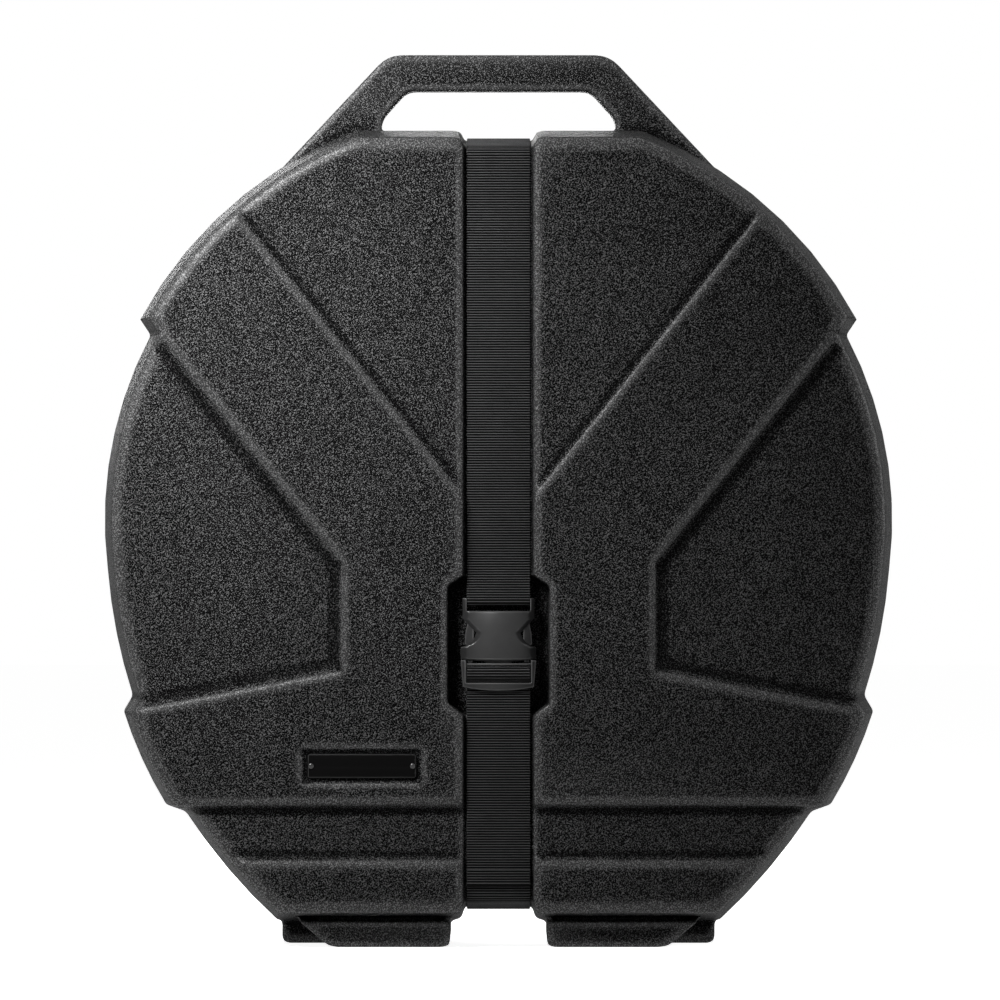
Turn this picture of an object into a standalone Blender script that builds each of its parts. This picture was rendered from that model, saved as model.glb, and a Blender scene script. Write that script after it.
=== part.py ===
"""Hard case for cymbals up to 22 inches: two moulded shells, a centre post, a webbing strap and its buckle.

Metres, +Z up. The case stands on its feet and its front faces -Y. The origin is on the floor under its
middle. Places across the case are symmetric about x = 0, and depths are counted from the mid plane y = 0.
"""

import math

import bmesh
import bpy
import numpy
from mathutils import Vector
from mathutils.geometry import delaunay_2d_cdt

# Fits
GAP = 0.0003            # between pieces that touch
OVERRUN = 0.001         # how far a cutter runs past what it cuts
WELD = 0.00001          # points closer than this are one point

# Outline of both shells, seen from the front
TOP_HEIGHT = 0.6495
TOP_EASE = 0.004        # half length of the soft corner between flat top and arc
TOP_CORNER_HALF = 0.1138
BAND_RADIUS = 0.3247
BAND_FOOT_HEIGHT = 0.4986
NOTCH_HEIGHT = 0.0125
SIDE_RADIUS = 0.3147
SIDE_CENTRE = 0.3385
HIP_HEIGHT = 0.299
HIP_FOOT_HEIGHT = 0.1985
HIP_FOOT_HALF = 0.2922
HIP_BOW = 0.003
BELT_HALF = 0.2995
BELT_BOW = 0.0025
CHIN_HEIGHT = 0.1145
CHIN_HALF = 0.2655
CHIN_DROP = 0.0055
CHIN_LEAN = 0.0033      # the step at the chin lies this much lower at the rim than on the face
CHIN_STEP = 0.0155
BASE_HALF = 0.1765
BASE_HEIGHT = 0.0189
BASE_BOW = 0.0037

# Section of both shells
HALF_DEPTH = 0.087      # mid plane to the side pockets' face
PARTING_DEPTH = 0.010   # the parting plane lies this far in front of the mid plane
WALL = 0.004
EDGE_RADIUS = 0.0075
DRAFT = 0.0077
RIM_HEIGHT = 0.006
TONGUE_HEIGHT = 0.012
TONGUE_ROOM = 0.0006
TONGUE_LEAN = 0.0005

# Relief of the faces, as rises over the side pockets
BAND_RISE = 0.008
PANEL_RISE = 0.0045
STRIP_DROP = 0.008
FOOT_BAND_RISE = 0.006
PANEL_TIP_HEIGHT = 0.3553
PANEL_SLOPE = 0.0045
SIDE_TIP_HEIGHT = 0.3057
SIDE_POCKET_HALF = 0.1224
SIDE_SLOPE = 0.008
SIDE_WALL_SLOPE = 0.0063
SILL_HEIGHT = 0.2181
SILL_SLOPE = 0.0075
FOOT_BAND_HEIGHT = 0.074
FOOT_BAND_SLOPE = 0.007
DIAGONAL_SHARE = 1.25   # height gained for each unit across, on both diagonals
SILL_SHARE = 0.19       # height lost for each unit across

# Strap and the channel that it lies in
WEB_WIDTH = 0.050
WEB_THICK = 0.002
CHANNEL_ROOM = 0.0029
CHANNEL_LEAN = 0.0008
CHANNEL_CORNER = 0.007  # length of the soft corners where the channel runs out at top and bottom
CHANNEL_SINK = 0.004    # channel floor under the side pockets' level
TOP_CHANNEL_DROP = 0.0085
BASE_CHANNEL_DROP = 0.011

# Buckle pocket in the front
POCKET_HALF = 0.0403
POCKET_LOW = 0.194
POCKET_HIGH = 0.2865
POCKET_LOW_CORNER = 0.0095
POCKET_HIGH_CORNER = 0.0082
POCKET_SINK = 0.012     # pocket floor under the channel floor

# Badge plate in the front, left of the strap
BADGE_LEFT = -0.1552
BADGE_RIGHT = -0.0608
BADGE_LOW = 0.1304
BADGE_HIGH = 0.158
BADGE_SINK = 0.0035
BADGE_LEAN = 0.0008
BADGE_MARGIN = 0.0038
PLATE_THICK = 0.0015
PLATE_CORNER = 0.0025
SCREW_INSET = 0.0032
SCREW_HEAD_RADIUS = 0.0024
SCREW_HEAD_HEIGHT = 0.0013
SCREW_SHANK_RADIUS = 0.001

# Handle on the rear shell
HANDLE_TOP = 0.7104
HANDLE_CORNER_HALF = 0.0884
HANDLE_CORNER_EASE = 0.0115
HANDLE_FOOT_HALF = 0.1733
GRIP_HEIGHT = 0.0288
GRIP_HALF = 0.0731
OPENING_HALF = 0.0937
OPENING_SHOULDER = 0.009
OPENING_EASE = 0.006
HANDLE_DEPTH = 0.032
HANDLE_SETBACK = 0.002  # handle's front behind the parting plane
HANDLE_ROUND = 0.0085

# Feet
FOOT_INNER = 0.0383
FRONT_FOOT_HALF = 0.134
FRONT_FOOT_TOP_HALF = 0.1565
REAR_FOOT_HALF = 0.173
FOOT_CORNER = 0.005
FOOT_SETBACK = 0.015    # feet behind the side pockets' face
FOOT_TO_PARTING = 0.004

# Room for the cymbals
BAY_RADIUS = 0.282
BAY_CENTRE = 0.342
BASE_PAD_THICK = 0.012
COVER_PAD_THICK = 0.012
FOAM_ROOM = 0.0006
FOAM_STEP = 0.024       # longest stretch of the foam rings' outline
PAD_ROOM = 0.0006

# Centre post
FLANGE_RADIUS = 0.031
FLANGE_THICK = 0.005
HUB_RADIUS = 0.011
HUB_HEIGHT = 0.015
BOLT_CIRCLE = 0.021
BOLT_RADIUS = 0.0025
BOLT_HEAD_RADIUS = 0.0045
BOLT_HEAD_HEIGHT = 0.003
BOLT_ROOM = 0.0002
ROD_RADIUS = 0.004
ROD_LENGTH = 0.137
SLEEVE_WALL = 0.002
SLEEVE_LENGTH = 0.064
LOWER_FELT_RADIUS = 0.025
LOWER_FELT_THICK = 0.012
UPPER_FELT_RADIUS = 0.020
UPPER_FELT_THICK = 0.008
WASHER_RADIUS = 0.018
WASHER_THICK = 0.0015
KNOB_RADIUS = 0.022
KNOB_HEIGHT = 0.018
KNOB_LOBE = 0.0016
KNOB_EDGE = 0.003
ROD_PAST_KNOB = 0.003

# Buckle
BUCKLE_SINK = 0.001     # buckle's mid plane in front of the channel floor
SOCKET_LOW = 0.2288
SOCKET_BULGE = 0.0025
SOCKET_HALF = 0.0298
SHOULDER_HEIGHT = 0.0092
WAIST_RISE = 0.0205
WAIST_HALF = 0.0175
SOCKET_HIGH = 0.2667
EAR_OUTER = 0.0284
EAR_INNER = 0.0252
EAR_RISE = 0.0101
EAR_FOOT_DROP = 0.0057
SOCKET_THICK = 0.013
SOCKET_SKIN = 0.0029
SOCKET_SIDE = 0.0026
SOCKET_ROOF = 0.0037
SOCKET_ROUND = 0.0014
BAR_RADIUS = 0.00175
BAR_BELOW_EAR = 0.0021

PLUG_TOP_GAP = 0.001
PLUG_TOP_HALF = 0.0300
PLUG_FOOT_HALF = 0.0282
PLUG_HEIGHT = 0.0213
PLUG_BULGE = 0.003      # the plug's lower bar and the socket's mouth bulge downwards
PLUG_WINDOW_HALF = 0.0257
LOWER_BAR_HEIGHT = 0.0033
MIDDLE_BAR_THICK = 0.003
MIDDLE_BAR_HEIGHT = 0.0045
MIDDLE_BAR_RISE = 0.0047
CROSSBAR_HEIGHT = 0.0018
GUIDE_HALF = 0.010
GUIDE_THICK = 0.005
GUIDE_LENGTH = 0.035
GUIDE_TIP_SHARE = 0.6

PRONG_ROOT_INNER = 0.0205
PRONG_ROOT_OUTER = 0.0245
PRONG_PAD_INNER = 0.0195
PRONG_PAD_OUTER = 0.0268
PRONG_THICK = 0.0062
PAD_LOW = 0.0114
PAD_HIGH = 0.0285
PRONG_TIP = 0.0325
PLUG_TRAVEL = 0.020     # until the plug's foot comes to the pocket's lower edge

# Strap ends
FOLD_LENGTH = 0.016
FOLD_RISE = 0.010
TAIL_LOW = 0.0495
HEM_LENGTH = 0.0125

# Counts
ARC_STEPS = 7
BOW_STEPS = 4
EDGE_STEPS = 3
CORNER_STEPS = 2
TURN_STEPS = 8
ROUND_SIDES = 48
SMALL_SIDES = 20
BAR_SIDES = 8
KNOB_LOBES = 8
BOLT_COUNT = 4
SMOOTH_ANGLE = math.radians(35)
SHARPEST_MITRE_SHARE = 0.15  # creases flatter than this, against the strongest, don't move a mitre
ROUND_PROFILE_SHARE = 0.5

# Sizes that follow from the ones above
BAND_CENTRE = TOP_HEIGHT - math.sqrt(BAND_RADIUS**2 - TOP_CORNER_HALF**2)
CHANNEL_HALF = WEB_WIDTH / 2 + CHANNEL_ROOM
FACE_INSET = DRAFT + EDGE_RADIUS
CHANNEL_LEVEL = HALF_DEPTH - CHANNEL_SINK
POCKET_LEVEL = CHANNEL_LEVEL - POCKET_SINK
BAND_LEVEL = HALF_DEPTH + BAND_RISE
STRAP_BACK = CHANNEL_LEVEL + GAP
STRAP_FRONT = STRAP_BACK + WEB_THICK
TAIL_BACK = STRAP_FRONT + GAP
TAIL_FRONT = TAIL_BACK + WEB_THICK
BUCKLE_DEPTH = CHANNEL_LEVEL + BUCKLE_SINK
POST_FOOT = CHANNEL_LEVEL - WALL - GAP
FRONT = -1
REAR = 1


# Plane geometry, on (x, z) pairs
def share(first, second, part):
    """The point that lies a share of the way from one point to another."""
    return tuple(a + (b - a) * part for a, b in zip(first, second))


def circle_half(radius, centre, height):
    """Half width of a circle about the middle at a height."""
    return math.sqrt(radius**2 - (height - centre) ** 2)


def circle_run(radius, centre, high, low, steps):
    """Points down the right side of a circle, from one height to another."""
    first, last = (math.asin((z - centre) / radius) for z in (high, low))
    turns = [first + (last - first) * step / steps for step in range(steps + 1)]
    return [(radius * math.cos(a), centre + radius * math.sin(a)) for a in turns]


def bow(start, end, height, steps):
    """A shallow arc between two points, its start left out, that bulges to the left of its direction."""
    dx, dz = end[0] - start[0], end[1] - start[1]
    length = math.hypot(dx, dz)
    points = []
    for step in range(1, steps + 1):
        part = step / steps
        lift = 4 * height * part * (1 - part) / length
        x, z = share(start, end, part)
        points.append((x - dz * lift, z + dx * lift))
    return points


def ease(before, corner, after, steps):
    """A soft corner from one point to another, pulled towards the corner."""
    parts = [step / steps for step in range(steps + 1)]
    return [share(share(before, corner, p), share(corner, after, p), p) for p in parts]


def towards(start, end, length):
    """The point a length away from start in the direction of end."""
    return share(start, end, length / math.dist(start, end))


def mirrored(points):
    """The same points on the other side of the middle, in the opposite order."""
    return [(-x, z) for x, z in reversed(points)]


def step_line(x, z, dx, dz):
    """A line through a point, with its unit normal to the left of its direction."""
    length = math.hypot(dx, dz)
    return x, z, -dz / length, dx / length


def off_line(line, x, z):
    """Distance of a point from a line, on its normal's side."""
    return (x - line[0]) * line[2] + (z - line[1]) * line[3]


def meet(first, first_off, second, second_off):
    """The point at given distances from two lines."""
    a, b = first[2:], second[2:]
    p = a[0] * first[0] + a[1] * first[1] + first_off
    q = b[0] * second[0] + b[1] * second[1] + second_off
    whole = a[0] * b[1] - a[1] * b[0]
    return (p * b[1] - q * a[1]) / whole, (a[0] * q - b[0] * p) / whole


def clamp(value):
    return min(max(value, 0), 1)


# Outline of the shells
CHIN = (CHIN_HALF, CHIN_HEIGHT - CHIN_LEAN)


def half_outline():
    """Right half of the outline, from the top of the strap channel down to its bottom."""
    corner = TOP_CORNER_HALF
    on_arc = corner + TOP_EASE
    arc_top = BAND_CENTRE + math.sqrt(BAND_RADIUS**2 - on_arc**2)
    notch_foot = BAND_FOOT_HEIGHT - NOTCH_HEIGHT
    hip_foot = (HIP_FOOT_HALF, HIP_FOOT_HEIGHT)
    side = circle_run(SIDE_RADIUS, SIDE_CENTRE, notch_foot, HIP_HEIGHT, ARC_STEPS)
    belt = (BELT_HALF, HIP_FOOT_HEIGHT - NOTCH_HEIGHT)
    chin = [CHIN, (CHIN_HALF - CHIN_STEP, CHIN[1] - CHIN_DROP)]
    return (
        [(CHANNEL_HALF, TOP_HEIGHT)]
        + ease((corner - TOP_EASE, TOP_HEIGHT), (corner, TOP_HEIGHT), (on_arc, arc_top), BOW_STEPS)
        + circle_run(BAND_RADIUS, BAND_CENTRE, arc_top, BAND_FOOT_HEIGHT, ARC_STEPS)[1:]
        + side
        + bow(side[-1], hip_foot, HIP_BOW, BOW_STEPS)
        + [belt]
        + bow(belt, CHIN, BELT_BOW, BOW_STEPS)[:-1]
        + chin
        + bow(chin[-1], (BASE_HALF, BASE_HEIGHT), BASE_BOW, BOW_STEPS)
        + [(CHANNEL_HALF, BASE_HEIGHT)]
    )


HALF_OUTLINE = half_outline()
CHIN_INDEX = HALF_OUTLINE.index(CHIN)


def channel_corner(half, level, drop):
    """The soft corner from the channel's wall to the flat top or bottom."""
    return ease((half, level + drop), (half, level), (half + CHANNEL_CORNER, level), CORNER_STEPS)


def inset_half(inset, growth):
    """The half outline moved inwards by inset, and the strap channel widened by growth.

    On the outside of the shells, where nothing grows, the step at the chin rises as it goes inwards.
    """
    points = HALF_OUTLINE
    chin_rise = inset * CHIN_LEAN / FACE_INSET
    moved = channel_corner(CHANNEL_HALF + growth, TOP_HEIGHT - inset, -CHANNEL_CORNER)
    for before, here, after in zip(points, points[1:], points[2:]):
        into = step_line(*here, here[0] - before[0], here[1] - before[1])
        out = step_line(*here, after[0] - here[0], after[1] - here[1])
        if here == points[CHIN_INDEX] and not growth:
            moved.append(meet(into, -inset, step_line(*here, 1, 0), chin_rise))
        elif here == points[CHIN_INDEX + 1] and not growth:
            moved.append(meet(out, -inset, step_line(*here, 1, 0), chin_rise))
        elif abs(into[2] * out[3] - into[3] * out[2]) < WELD:
            moved.append((here[0] - into[2] * inset, here[1] - into[3] * inset))
        else:
            moved.append(meet(into, -inset, out, -inset))
    moved += channel_corner(CHANNEL_HALF + growth, BASE_HEIGHT + inset, CHANNEL_CORNER)[::-1]
    floor_half = CHANNEL_HALF - CHANNEL_LEAN + growth
    top = (floor_half, TOP_HEIGHT - inset - TOP_CHANNEL_DROP)
    base = (floor_half, BASE_HEIGHT + inset + BASE_CHANNEL_DROP)
    return [top] + moved + [base]


# Steps of the relief on the right side, their normals pointing where the face is lower
PANEL_LINE = step_line(CHANNEL_HALF, PANEL_TIP_HEIGHT, 1, DIAGONAL_SHARE)
SIDE_LINE = step_line(SIDE_POCKET_HALF, SIDE_TIP_HEIGHT, -1, -DIAGONAL_SHARE)
SIDE_WALL_LINE = step_line(SIDE_POCKET_HALF, SILL_HEIGHT, 0, -1)
SILL_LINE = step_line(SIDE_POCKET_HALF, SILL_HEIGHT, 1, -SILL_SHARE)
CHIN_LINE = step_line(0, CHIN_HEIGHT, -1, 0)
FOOT_BAND_LINE = step_line(0, FOOT_BAND_HEIGHT, -1, 0)
CROSSING_STEPS = [
    (PANEL_LINE, PANEL_SLOPE),
    (SIDE_LINE, SIDE_SLOPE),
    (SILL_LINE, SILL_SLOPE),
    (FOOT_BAND_LINE, FOOT_BAND_SLOPE),
]


def pocket_corners(lean):
    """Right half of the buckle pocket's outline, from the top down, moved inwards by its wall's lean."""
    high = step_line(0, POCKET_HIGH + POCKET_HIGH_CORNER, 1, 0)
    low = step_line(0, POCKET_LOW - POCKET_LOW_CORNER, -1, 0)
    side = step_line(POCKET_HALF, 0, 0, -1)
    across = POCKET_HALF - CHANNEL_HALF
    high_corner = step_line(POCKET_HALF, POCKET_HIGH, across, -POCKET_HIGH_CORNER)
    low_corner = step_line(POCKET_HALF, POCKET_LOW, -across, -POCKET_LOW_CORNER)
    lines = [high, high_corner, side, low_corner, low]
    return [meet(a, -lean, b, -lean) for a, b in zip(lines, lines[1:])]


def badge_corners(lean):
    """Corners of the badge's recess, moved inwards by its wall's lean."""
    left, right = BADGE_LEFT + lean, BADGE_RIGHT - lean
    low, high = BADGE_LOW + lean, BADGE_HIGH - lean
    return [(left, low), (left, high), (right, high), (right, low)]


def inside(corners, x, z):
    """Distance of a point inside a convex outline from its nearest side, seen clockwise."""
    ends = corners[1:] + corners[:1]
    return min(-off_line(step_line(*a, b[0] - a[0], b[1] - a[1]), x, z) for a, b in zip(corners, ends))


def face_depth(x, z, side):
    """Depth of the front or the back face, measured from the mid plane."""
    across = abs(x)
    rise = BAND_RISE
    rise -= clamp(off_line(PANEL_LINE, across, z) / PANEL_SLOPE) * (BAND_RISE - PANEL_RISE)
    into_side = (
        off_line(SIDE_LINE, across, z) / SIDE_SLOPE,
        off_line(SIDE_WALL_LINE, across, z) / SIDE_WALL_SLOPE,
        off_line(SILL_LINE, across, z) / SILL_SLOPE,
    )
    rise -= clamp(min(into_side)) * BAND_RISE
    rise -= clamp(off_line(CHIN_LINE, across, z) / CHIN_DROP) * STRIP_DROP
    rise += clamp(off_line(FOOT_BAND_LINE, across, z) / FOOT_BAND_SLOPE) * FOOT_BAND_RISE
    depth = HALF_DEPTH + rise
    depth += clamp((CHANNEL_HALF - across) / CHANNEL_LEAN) * (CHANNEL_LEVEL - depth)
    if side == FRONT:
        pocket = pocket_corners(0)
        into_pocket = inside(pocket + mirrored(pocket), x, z) / CHANNEL_LEAN
        depth += clamp(into_pocket) * (POCKET_LEVEL - depth)
        depth -= clamp(inside(badge_corners(0), x, z) / BADGE_LEAN) * BADGE_SINK
    return depth


def crossing(points, line, off):
    """Where an outline first crosses a line's parallel, as the index of its stretch and the share of it."""
    offs = [off_line(line, *point) - off for point in points]
    for index, (a, b) in enumerate(zip(offs, offs[1:])):
        if a * b < 0:
            return index, a / (a - b)
    raise ValueError("the outline doesn't cross the line")


FACE_HALF = inset_half(FACE_INSET, 0)
STATIONS = sorted(
    crossing(FACE_HALF, line, off) for line, width in CROSSING_STEPS for off in (0, width)
)


def outline_loop(inset, growth=0):
    """The whole outline, clockwise seen from the front, with a point where each step of the relief ends."""
    half = inset_half(inset, growth)
    points = []
    for index, point in enumerate(half):
        points.append(point)
        points += [share(point, half[index + 1], part) for at, part in STATIONS if at == index]
    return points + mirrored(points)


def step_paths(side):
    """The creases of a face's relief, as runs of points."""
    def ends(line, off):
        index, part = crossing(FACE_HALF, line, off)
        return share(FACE_HALF[index], FACE_HALF[index + 1], part)

    def at_channel(line, off):
        return meet(line, off, step_line(CHANNEL_HALF, 0, 0, -1), 0)

    paths = []
    for line, width in ((PANEL_LINE, PANEL_SLOPE), (FOOT_BAND_LINE, FOOT_BAND_SLOPE)):
        paths += [[at_channel(line, off), ends(line, off)] for off in (0, width)]
    for index, off in enumerate((0, CHIN_DROP)):
        paths.append([at_channel(CHIN_LINE, off), FACE_HALF[CHIN_INDEX + 1 + CORNER_STEPS + index]])
    paths += [[path[0], (CHANNEL_HALF - CHANNEL_LEAN, path[0][1])] for path in paths]
    tips = []
    for deep in (0, 1):
        offs = deep * SIDE_SLOPE, deep * SIDE_WALL_SLOPE, deep * SILL_SLOPE
        tip = meet(SIDE_LINE, offs[0], SIDE_WALL_LINE, offs[1])
        heel = meet(SIDE_WALL_LINE, offs[1], SILL_LINE, offs[2])
        paths.append([ends(SIDE_LINE, offs[0]), tip, heel, ends(SILL_LINE, offs[2])])
        tips.append((tip, heel))
    paths += [list(pair) for pair in zip(*tips)]
    wall = [FACE_HALF[1], FACE_HALF[-2]]
    floor = [FACE_HALF[0], FACE_HALF[-1]]
    if side == REAR:
        paths += [wall, floor]
        return paths + [mirrored(path) for path in paths]
    rim, bed = pocket_corners(0), pocket_corners(CHANNEL_LEAN)
    floor_top, floor_low = (floor[0][0], rim[0][1]), (floor[0][0], rim[-1][1])
    paths += [[wall[0], rim[0]], [rim[-1], wall[1]], [floor[0], floor_top], [floor_low, floor[1]]]
    paths += [rim, bed] + [list(pair) for pair in zip(rim, bed)]
    paths += [mirrored(path) for path in paths]
    for z, half in ((rim[0][1], rim[0][0]), (rim[-1][1], rim[-1][0])):
        paths.append([(-half, z), (-floor[0][0], z), (floor[0][0], z), (half, z)])
    for z, half in ((bed[0][1], bed[0][0]), (bed[-1][1], bed[-1][0])):
        paths.append([(-half, z), (half, z)])
    recess, plate_bed = badge_corners(0), badge_corners(BADGE_LEAN)
    paths += [recess + recess[:1], plate_bed + plate_bed[:1]]
    return paths + [list(pair) for pair in zip(recess, plate_bed)]


# Mesh helpers
def finish(name, bm, material):
    """An object from a closed mesh, with its faces pointing out and its round parts smooth."""
    bmesh.ops.remove_doubles(bm, verts=bm.verts, dist=WELD)
    bmesh.ops.recalc_face_normals(bm, faces=bm.faces)
    mesh = bpy.data.meshes.new(name)
    bm.to_mesh(mesh)
    bm.free()
    mesh.materials.append(material)
    mesh.shade_smooth()
    mesh.set_sharp_from_angle(angle=SMOOTH_ANGLE)
    obj = bpy.data.objects.new(name, mesh)
    bpy.context.scene.collection.objects.link(obj)
    return obj


def apply_modifiers(obj):
    """Replace an object's mesh by what its modifiers make of it."""
    graph = bpy.context.evaluated_depsgraph_get()
    mesh = bpy.data.meshes.new_from_object(obj.evaluated_get(graph), depsgraph=graph)
    obj.modifiers.clear()
    old = obj.data
    obj.data = mesh
    mesh.name = old.name
    bpy.data.meshes.remove(old)


def combine(obj, others, operation):
    """Join other solids to an object, or cut them out of it, and remove them."""
    for other in others:
        modifier = obj.modifiers.new(other.name, "BOOLEAN")
        modifier.object = other
        modifier.operation = operation
        modifier.solver = "EXACT"
        apply_modifiers(obj)
        mesh = other.data
        bpy.data.objects.remove(other)
        bpy.data.meshes.remove(mesh)
    obj.data.set_sharp_from_angle(angle=SMOOTH_ANGLE)
    return obj


def lofted(loops):
    """A closed mesh through equal loops of points, with its two ends filled."""
    bm = bmesh.new()
    rings = [[bm.verts.new(point) for point in loop] for loop in loops]
    for first, second in zip(rings, rings[1:]):
        for index in range(len(first)):
            after = (index + 1) % len(first)
            bm.faces.new((first[index], first[after], second[after], second[index]))
    bm.faces.new(rings[0])
    bm.faces.new(reversed(rings[-1]))
    return bm


def prism(outline, near, far):
    """An outline of (x, z) points pushed through the depth between two values of y."""
    return lofted([[(x, y, z) for x, z in outline] for y in (near, far)])


def across_prism(outline, half):
    """An outline of (y, z) points pushed through the width of the case."""
    return lofted([[(x, y, z) for y, z in outline] for x in (-half, half)])


def rounded(bm, edges, radius, steps):
    """Round some edges of a mesh."""
    bmesh.ops.bevel(
        bm, geom=edges, offset=radius, offset_type="OFFSET", segments=steps,
        profile=ROUND_PROFILE_SHARE, affect="EDGES", clamp_overlap=True,
    )
    return bm


def box_corners(left, right, low, high):
    return [(left, low), (left, high), (right, high), (right, low)]


def chamfered(left, right, low, high, corner):
    """A rectangle with its corners cut."""
    return [
        (left, low + corner), (left, high - corner), (left + corner, high), (right - corner, high),
        (right, high - corner), (right, low + corner), (right - corner, low), (left + corner, low),
    ]


def turned(name, profile, x, z, material, sides=ROUND_SIDES, lobe=0, lobed_from=0):
    """A solid turned about a line along y through x and z, from (radius, y) points, perhaps lobed."""
    bm = bmesh.new()
    rings = []
    for radius, y in profile:
        if radius == 0:
            rings.append([bm.verts.new((x, y, z))])
            continue
        ring = []
        wave = lobe if radius >= lobed_from else 0
        for index in range(sides):
            angle = 2 * math.pi * index / sides
            reach = radius + wave * math.cos(KNOB_LOBES * angle)
            ring.append(bm.verts.new((x + reach * math.cos(angle), y, z + reach * math.sin(angle))))
        rings.append(ring)
    pairs = list(zip(rings, rings[1:]))
    if len(rings[0]) > 1:
        pairs.append((rings[-1], rings[0]))
    for first, second in pairs:
        for index in range(sides):
            after = (index + 1) % sides
            corners = []
            for ring, order in ((first, (index, after)), (second, (after, index))):
                corners += [ring[0]] if len(ring) == 1 else [ring[at] for at in order]
            bm.faces.new(corners)
    return finish(name, bm, material)


def tube(inner, outer, near, far):
    """Profile of a turned ring."""
    return [(inner, near), (outer, near), (outer, far), (inner, far)]


def along_strap(path, back, front):
    """Outline of webbing along a path of (y, z) points, between two distances to the path's left."""
    def pushed(distance):
        points = []
        for index, point in enumerate(path):
            before, after = path[max(index - 1, 0)], path[min(index + 1, len(path) - 1)]
            into = step_line(*point, point[0] - before[0], point[1] - before[1]) if index else None
            out = step_line(*point, after[0] - point[0], after[1] - point[1]) if after != point else None
            into, out = into or out, out or into
            if abs(into[2] * out[3] - into[3] * out[2]) < WELD:
                points.append((point[0] + into[2] * distance, point[1] + into[3] * distance))
            else:
                points.append(meet(into, distance, out, distance))
        return points

    return pushed(front) + pushed(back)[::-1]


def webbing(name, outline, material):
    return finish(name, across_prism(outline, WEB_WIDTH / 2), material)


# Shells
def shell_section(side):
    """The rings of a shell's skin, from the face's edge to the rim: inset, growth, depth as a function."""
    rings = []
    for step in range(EDGE_STEPS + 1):
        angle = math.pi / 2 * step / EDGE_STEPS
        inset = DRAFT + EDGE_RADIUS * (1 - math.sin(angle))
        drop = EDGE_RADIUS * (1 - math.cos(angle))
        rings.append((inset, 0, lambda depth, drop=drop: depth - drop))
    rim = PARTING_DEPTH if side == FRONT else GAP - PARTING_DEPTH
    rings.append((0, 0, lambda depth: rim + RIM_HEIGHT))
    rings.append((0, 0, lambda depth: rim))
    if side == REAR:
        foot = WALL + TONGUE_ROOM
        tip = foot + TONGUE_LEAN
        rings.append((foot, foot, lambda depth: rim))
        rings.append((tip, tip, lambda depth: rim - TONGUE_HEIGHT))
    return rings


def face_triangles(side, loop):
    """Triangles of a face between its creases: its points, the loop's places among them, the triangles."""
    points = list(loop)
    places = {(round(x / WELD), round(z / WELD)): index for index, (x, z) in enumerate(points)}
    creases = []
    for path in step_paths(side):
        run = []
        for x, z in path:
            key = round(x / WELD), round(z / WELD)
            if key not in places:
                places[key] = len(points)
                points.append((x, z))
            run.append(places[key])
        creases += list(zip(run, run[1:]))
    rim = list(range(len(loop)))
    rim_edges = list(zip(rim, rim[1:] + rim[:1]))
    found = delaunay_2d_cdt([Vector(p) for p in points], rim_edges + creases, [rim], 1, WELD / 10)
    spots, triangles, sources = found[0], found[2], found[3]
    where = {source: spot for spot, near in enumerate(sources) for source in near}
    return spots, [where[index] for index in rim], triangles


def inwards(vert):
    """The move that takes a point of a skin to the same distance behind each of the faces round it."""
    weights = [math.sqrt(loop.calc_angle()) for loop in vert.link_loops]
    normals = [loop.face.normal for loop in vert.link_loops]
    planes = numpy.array([[part * weight for part in normal] for normal, weight in zip(normals, weights)])
    reach = numpy.array([-WALL * weight for weight in weights])
    return Vector(numpy.linalg.lstsq(planes, reach, rcond=SHARPEST_MITRE_SHARE)[0])


def thicken(bm):
    """Give an open skin, whose normals point out, its wall on the inside."""
    bm.normal_update()
    skin = list(bm.faces)
    rim = [edge for edge in bm.edges if edge.is_boundary]
    inner = {vert: vert.co + inwards(vert) for vert in bm.verts}
    inner = {vert: bm.verts.new(place) for vert, place in inner.items()}
    for face in skin:
        bm.faces.new([inner[vert] for vert in reversed(face.verts)])
    for edge in rim:
        first, second = edge.verts
        bm.faces.new((first, second, inner[second], inner[first]))


def shell(name, side, material):
    """One shell: its face with relief, its rounded edge, drafted wall and rim, thickened inwards."""
    bm = bmesh.new()
    loop = outline_loop(FACE_INSET)
    depths = [face_depth(x, z, side) for x, z in loop]
    spots, rim_spots, triangles = face_triangles(side, loop)
    rings = []
    for inset, growth, depth_at in shell_section(side):
        places = zip(outline_loop(inset, growth), depths)
        rings.append([bm.verts.new((x, side * depth_at(depth), z)) for (x, z), depth in places])
    on_rim = dict(zip(rim_spots, rings[0]))
    verts = []
    for index, (x, z) in enumerate(spots):
        known = on_rim.get(index)
        verts.append(known or bm.verts.new((x, side * face_depth(x, z, side), z)))
    for triangle in triangles:
        bm.faces.new([verts[index] for index in triangle])
    for first, second in zip(rings, rings[1:]):
        for index in range(len(first)):
            after = (index + 1) % len(first)
            bm.faces.new((first[index], first[after], second[after], second[index]))
    bmesh.ops.recalc_face_normals(bm, faces=bm.faces)
    bm.faces.ensure_lookup_table()
    outermost = max(bm.faces, key=lambda face: side * face.calc_center_median().y)
    if side * outermost.normal.y < 0:
        bmesh.ops.reverse_faces(bm, faces=bm.faces)
    thicken(bm)
    return finish(name, bm, material)


def foot_outline(bottom_half, top_half, margin, top):
    """Outline of a foot on the right, moved inwards by a margin, with soft lower corners."""
    inner = FOOT_INNER + margin
    slope = (top_half - bottom_half) / BASE_HEIGHT
    outer_low = (bottom_half + slope * margin - margin, margin)
    outer_high = (outer_low[0] + slope * (top - margin), top)
    inner_low, inner_high = (inner, margin), (inner, top)
    corner = max(FOOT_CORNER - margin, GAP)

    def soft(before, at, after):
        return ease(towards(at, before, corner), at, towards(at, after, corner), CORNER_STEPS)

    low = soft(inner_high, inner_low, outer_low) + soft(inner_low, outer_low, outer_high)
    return [inner_high] + low + [outer_high]


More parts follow.
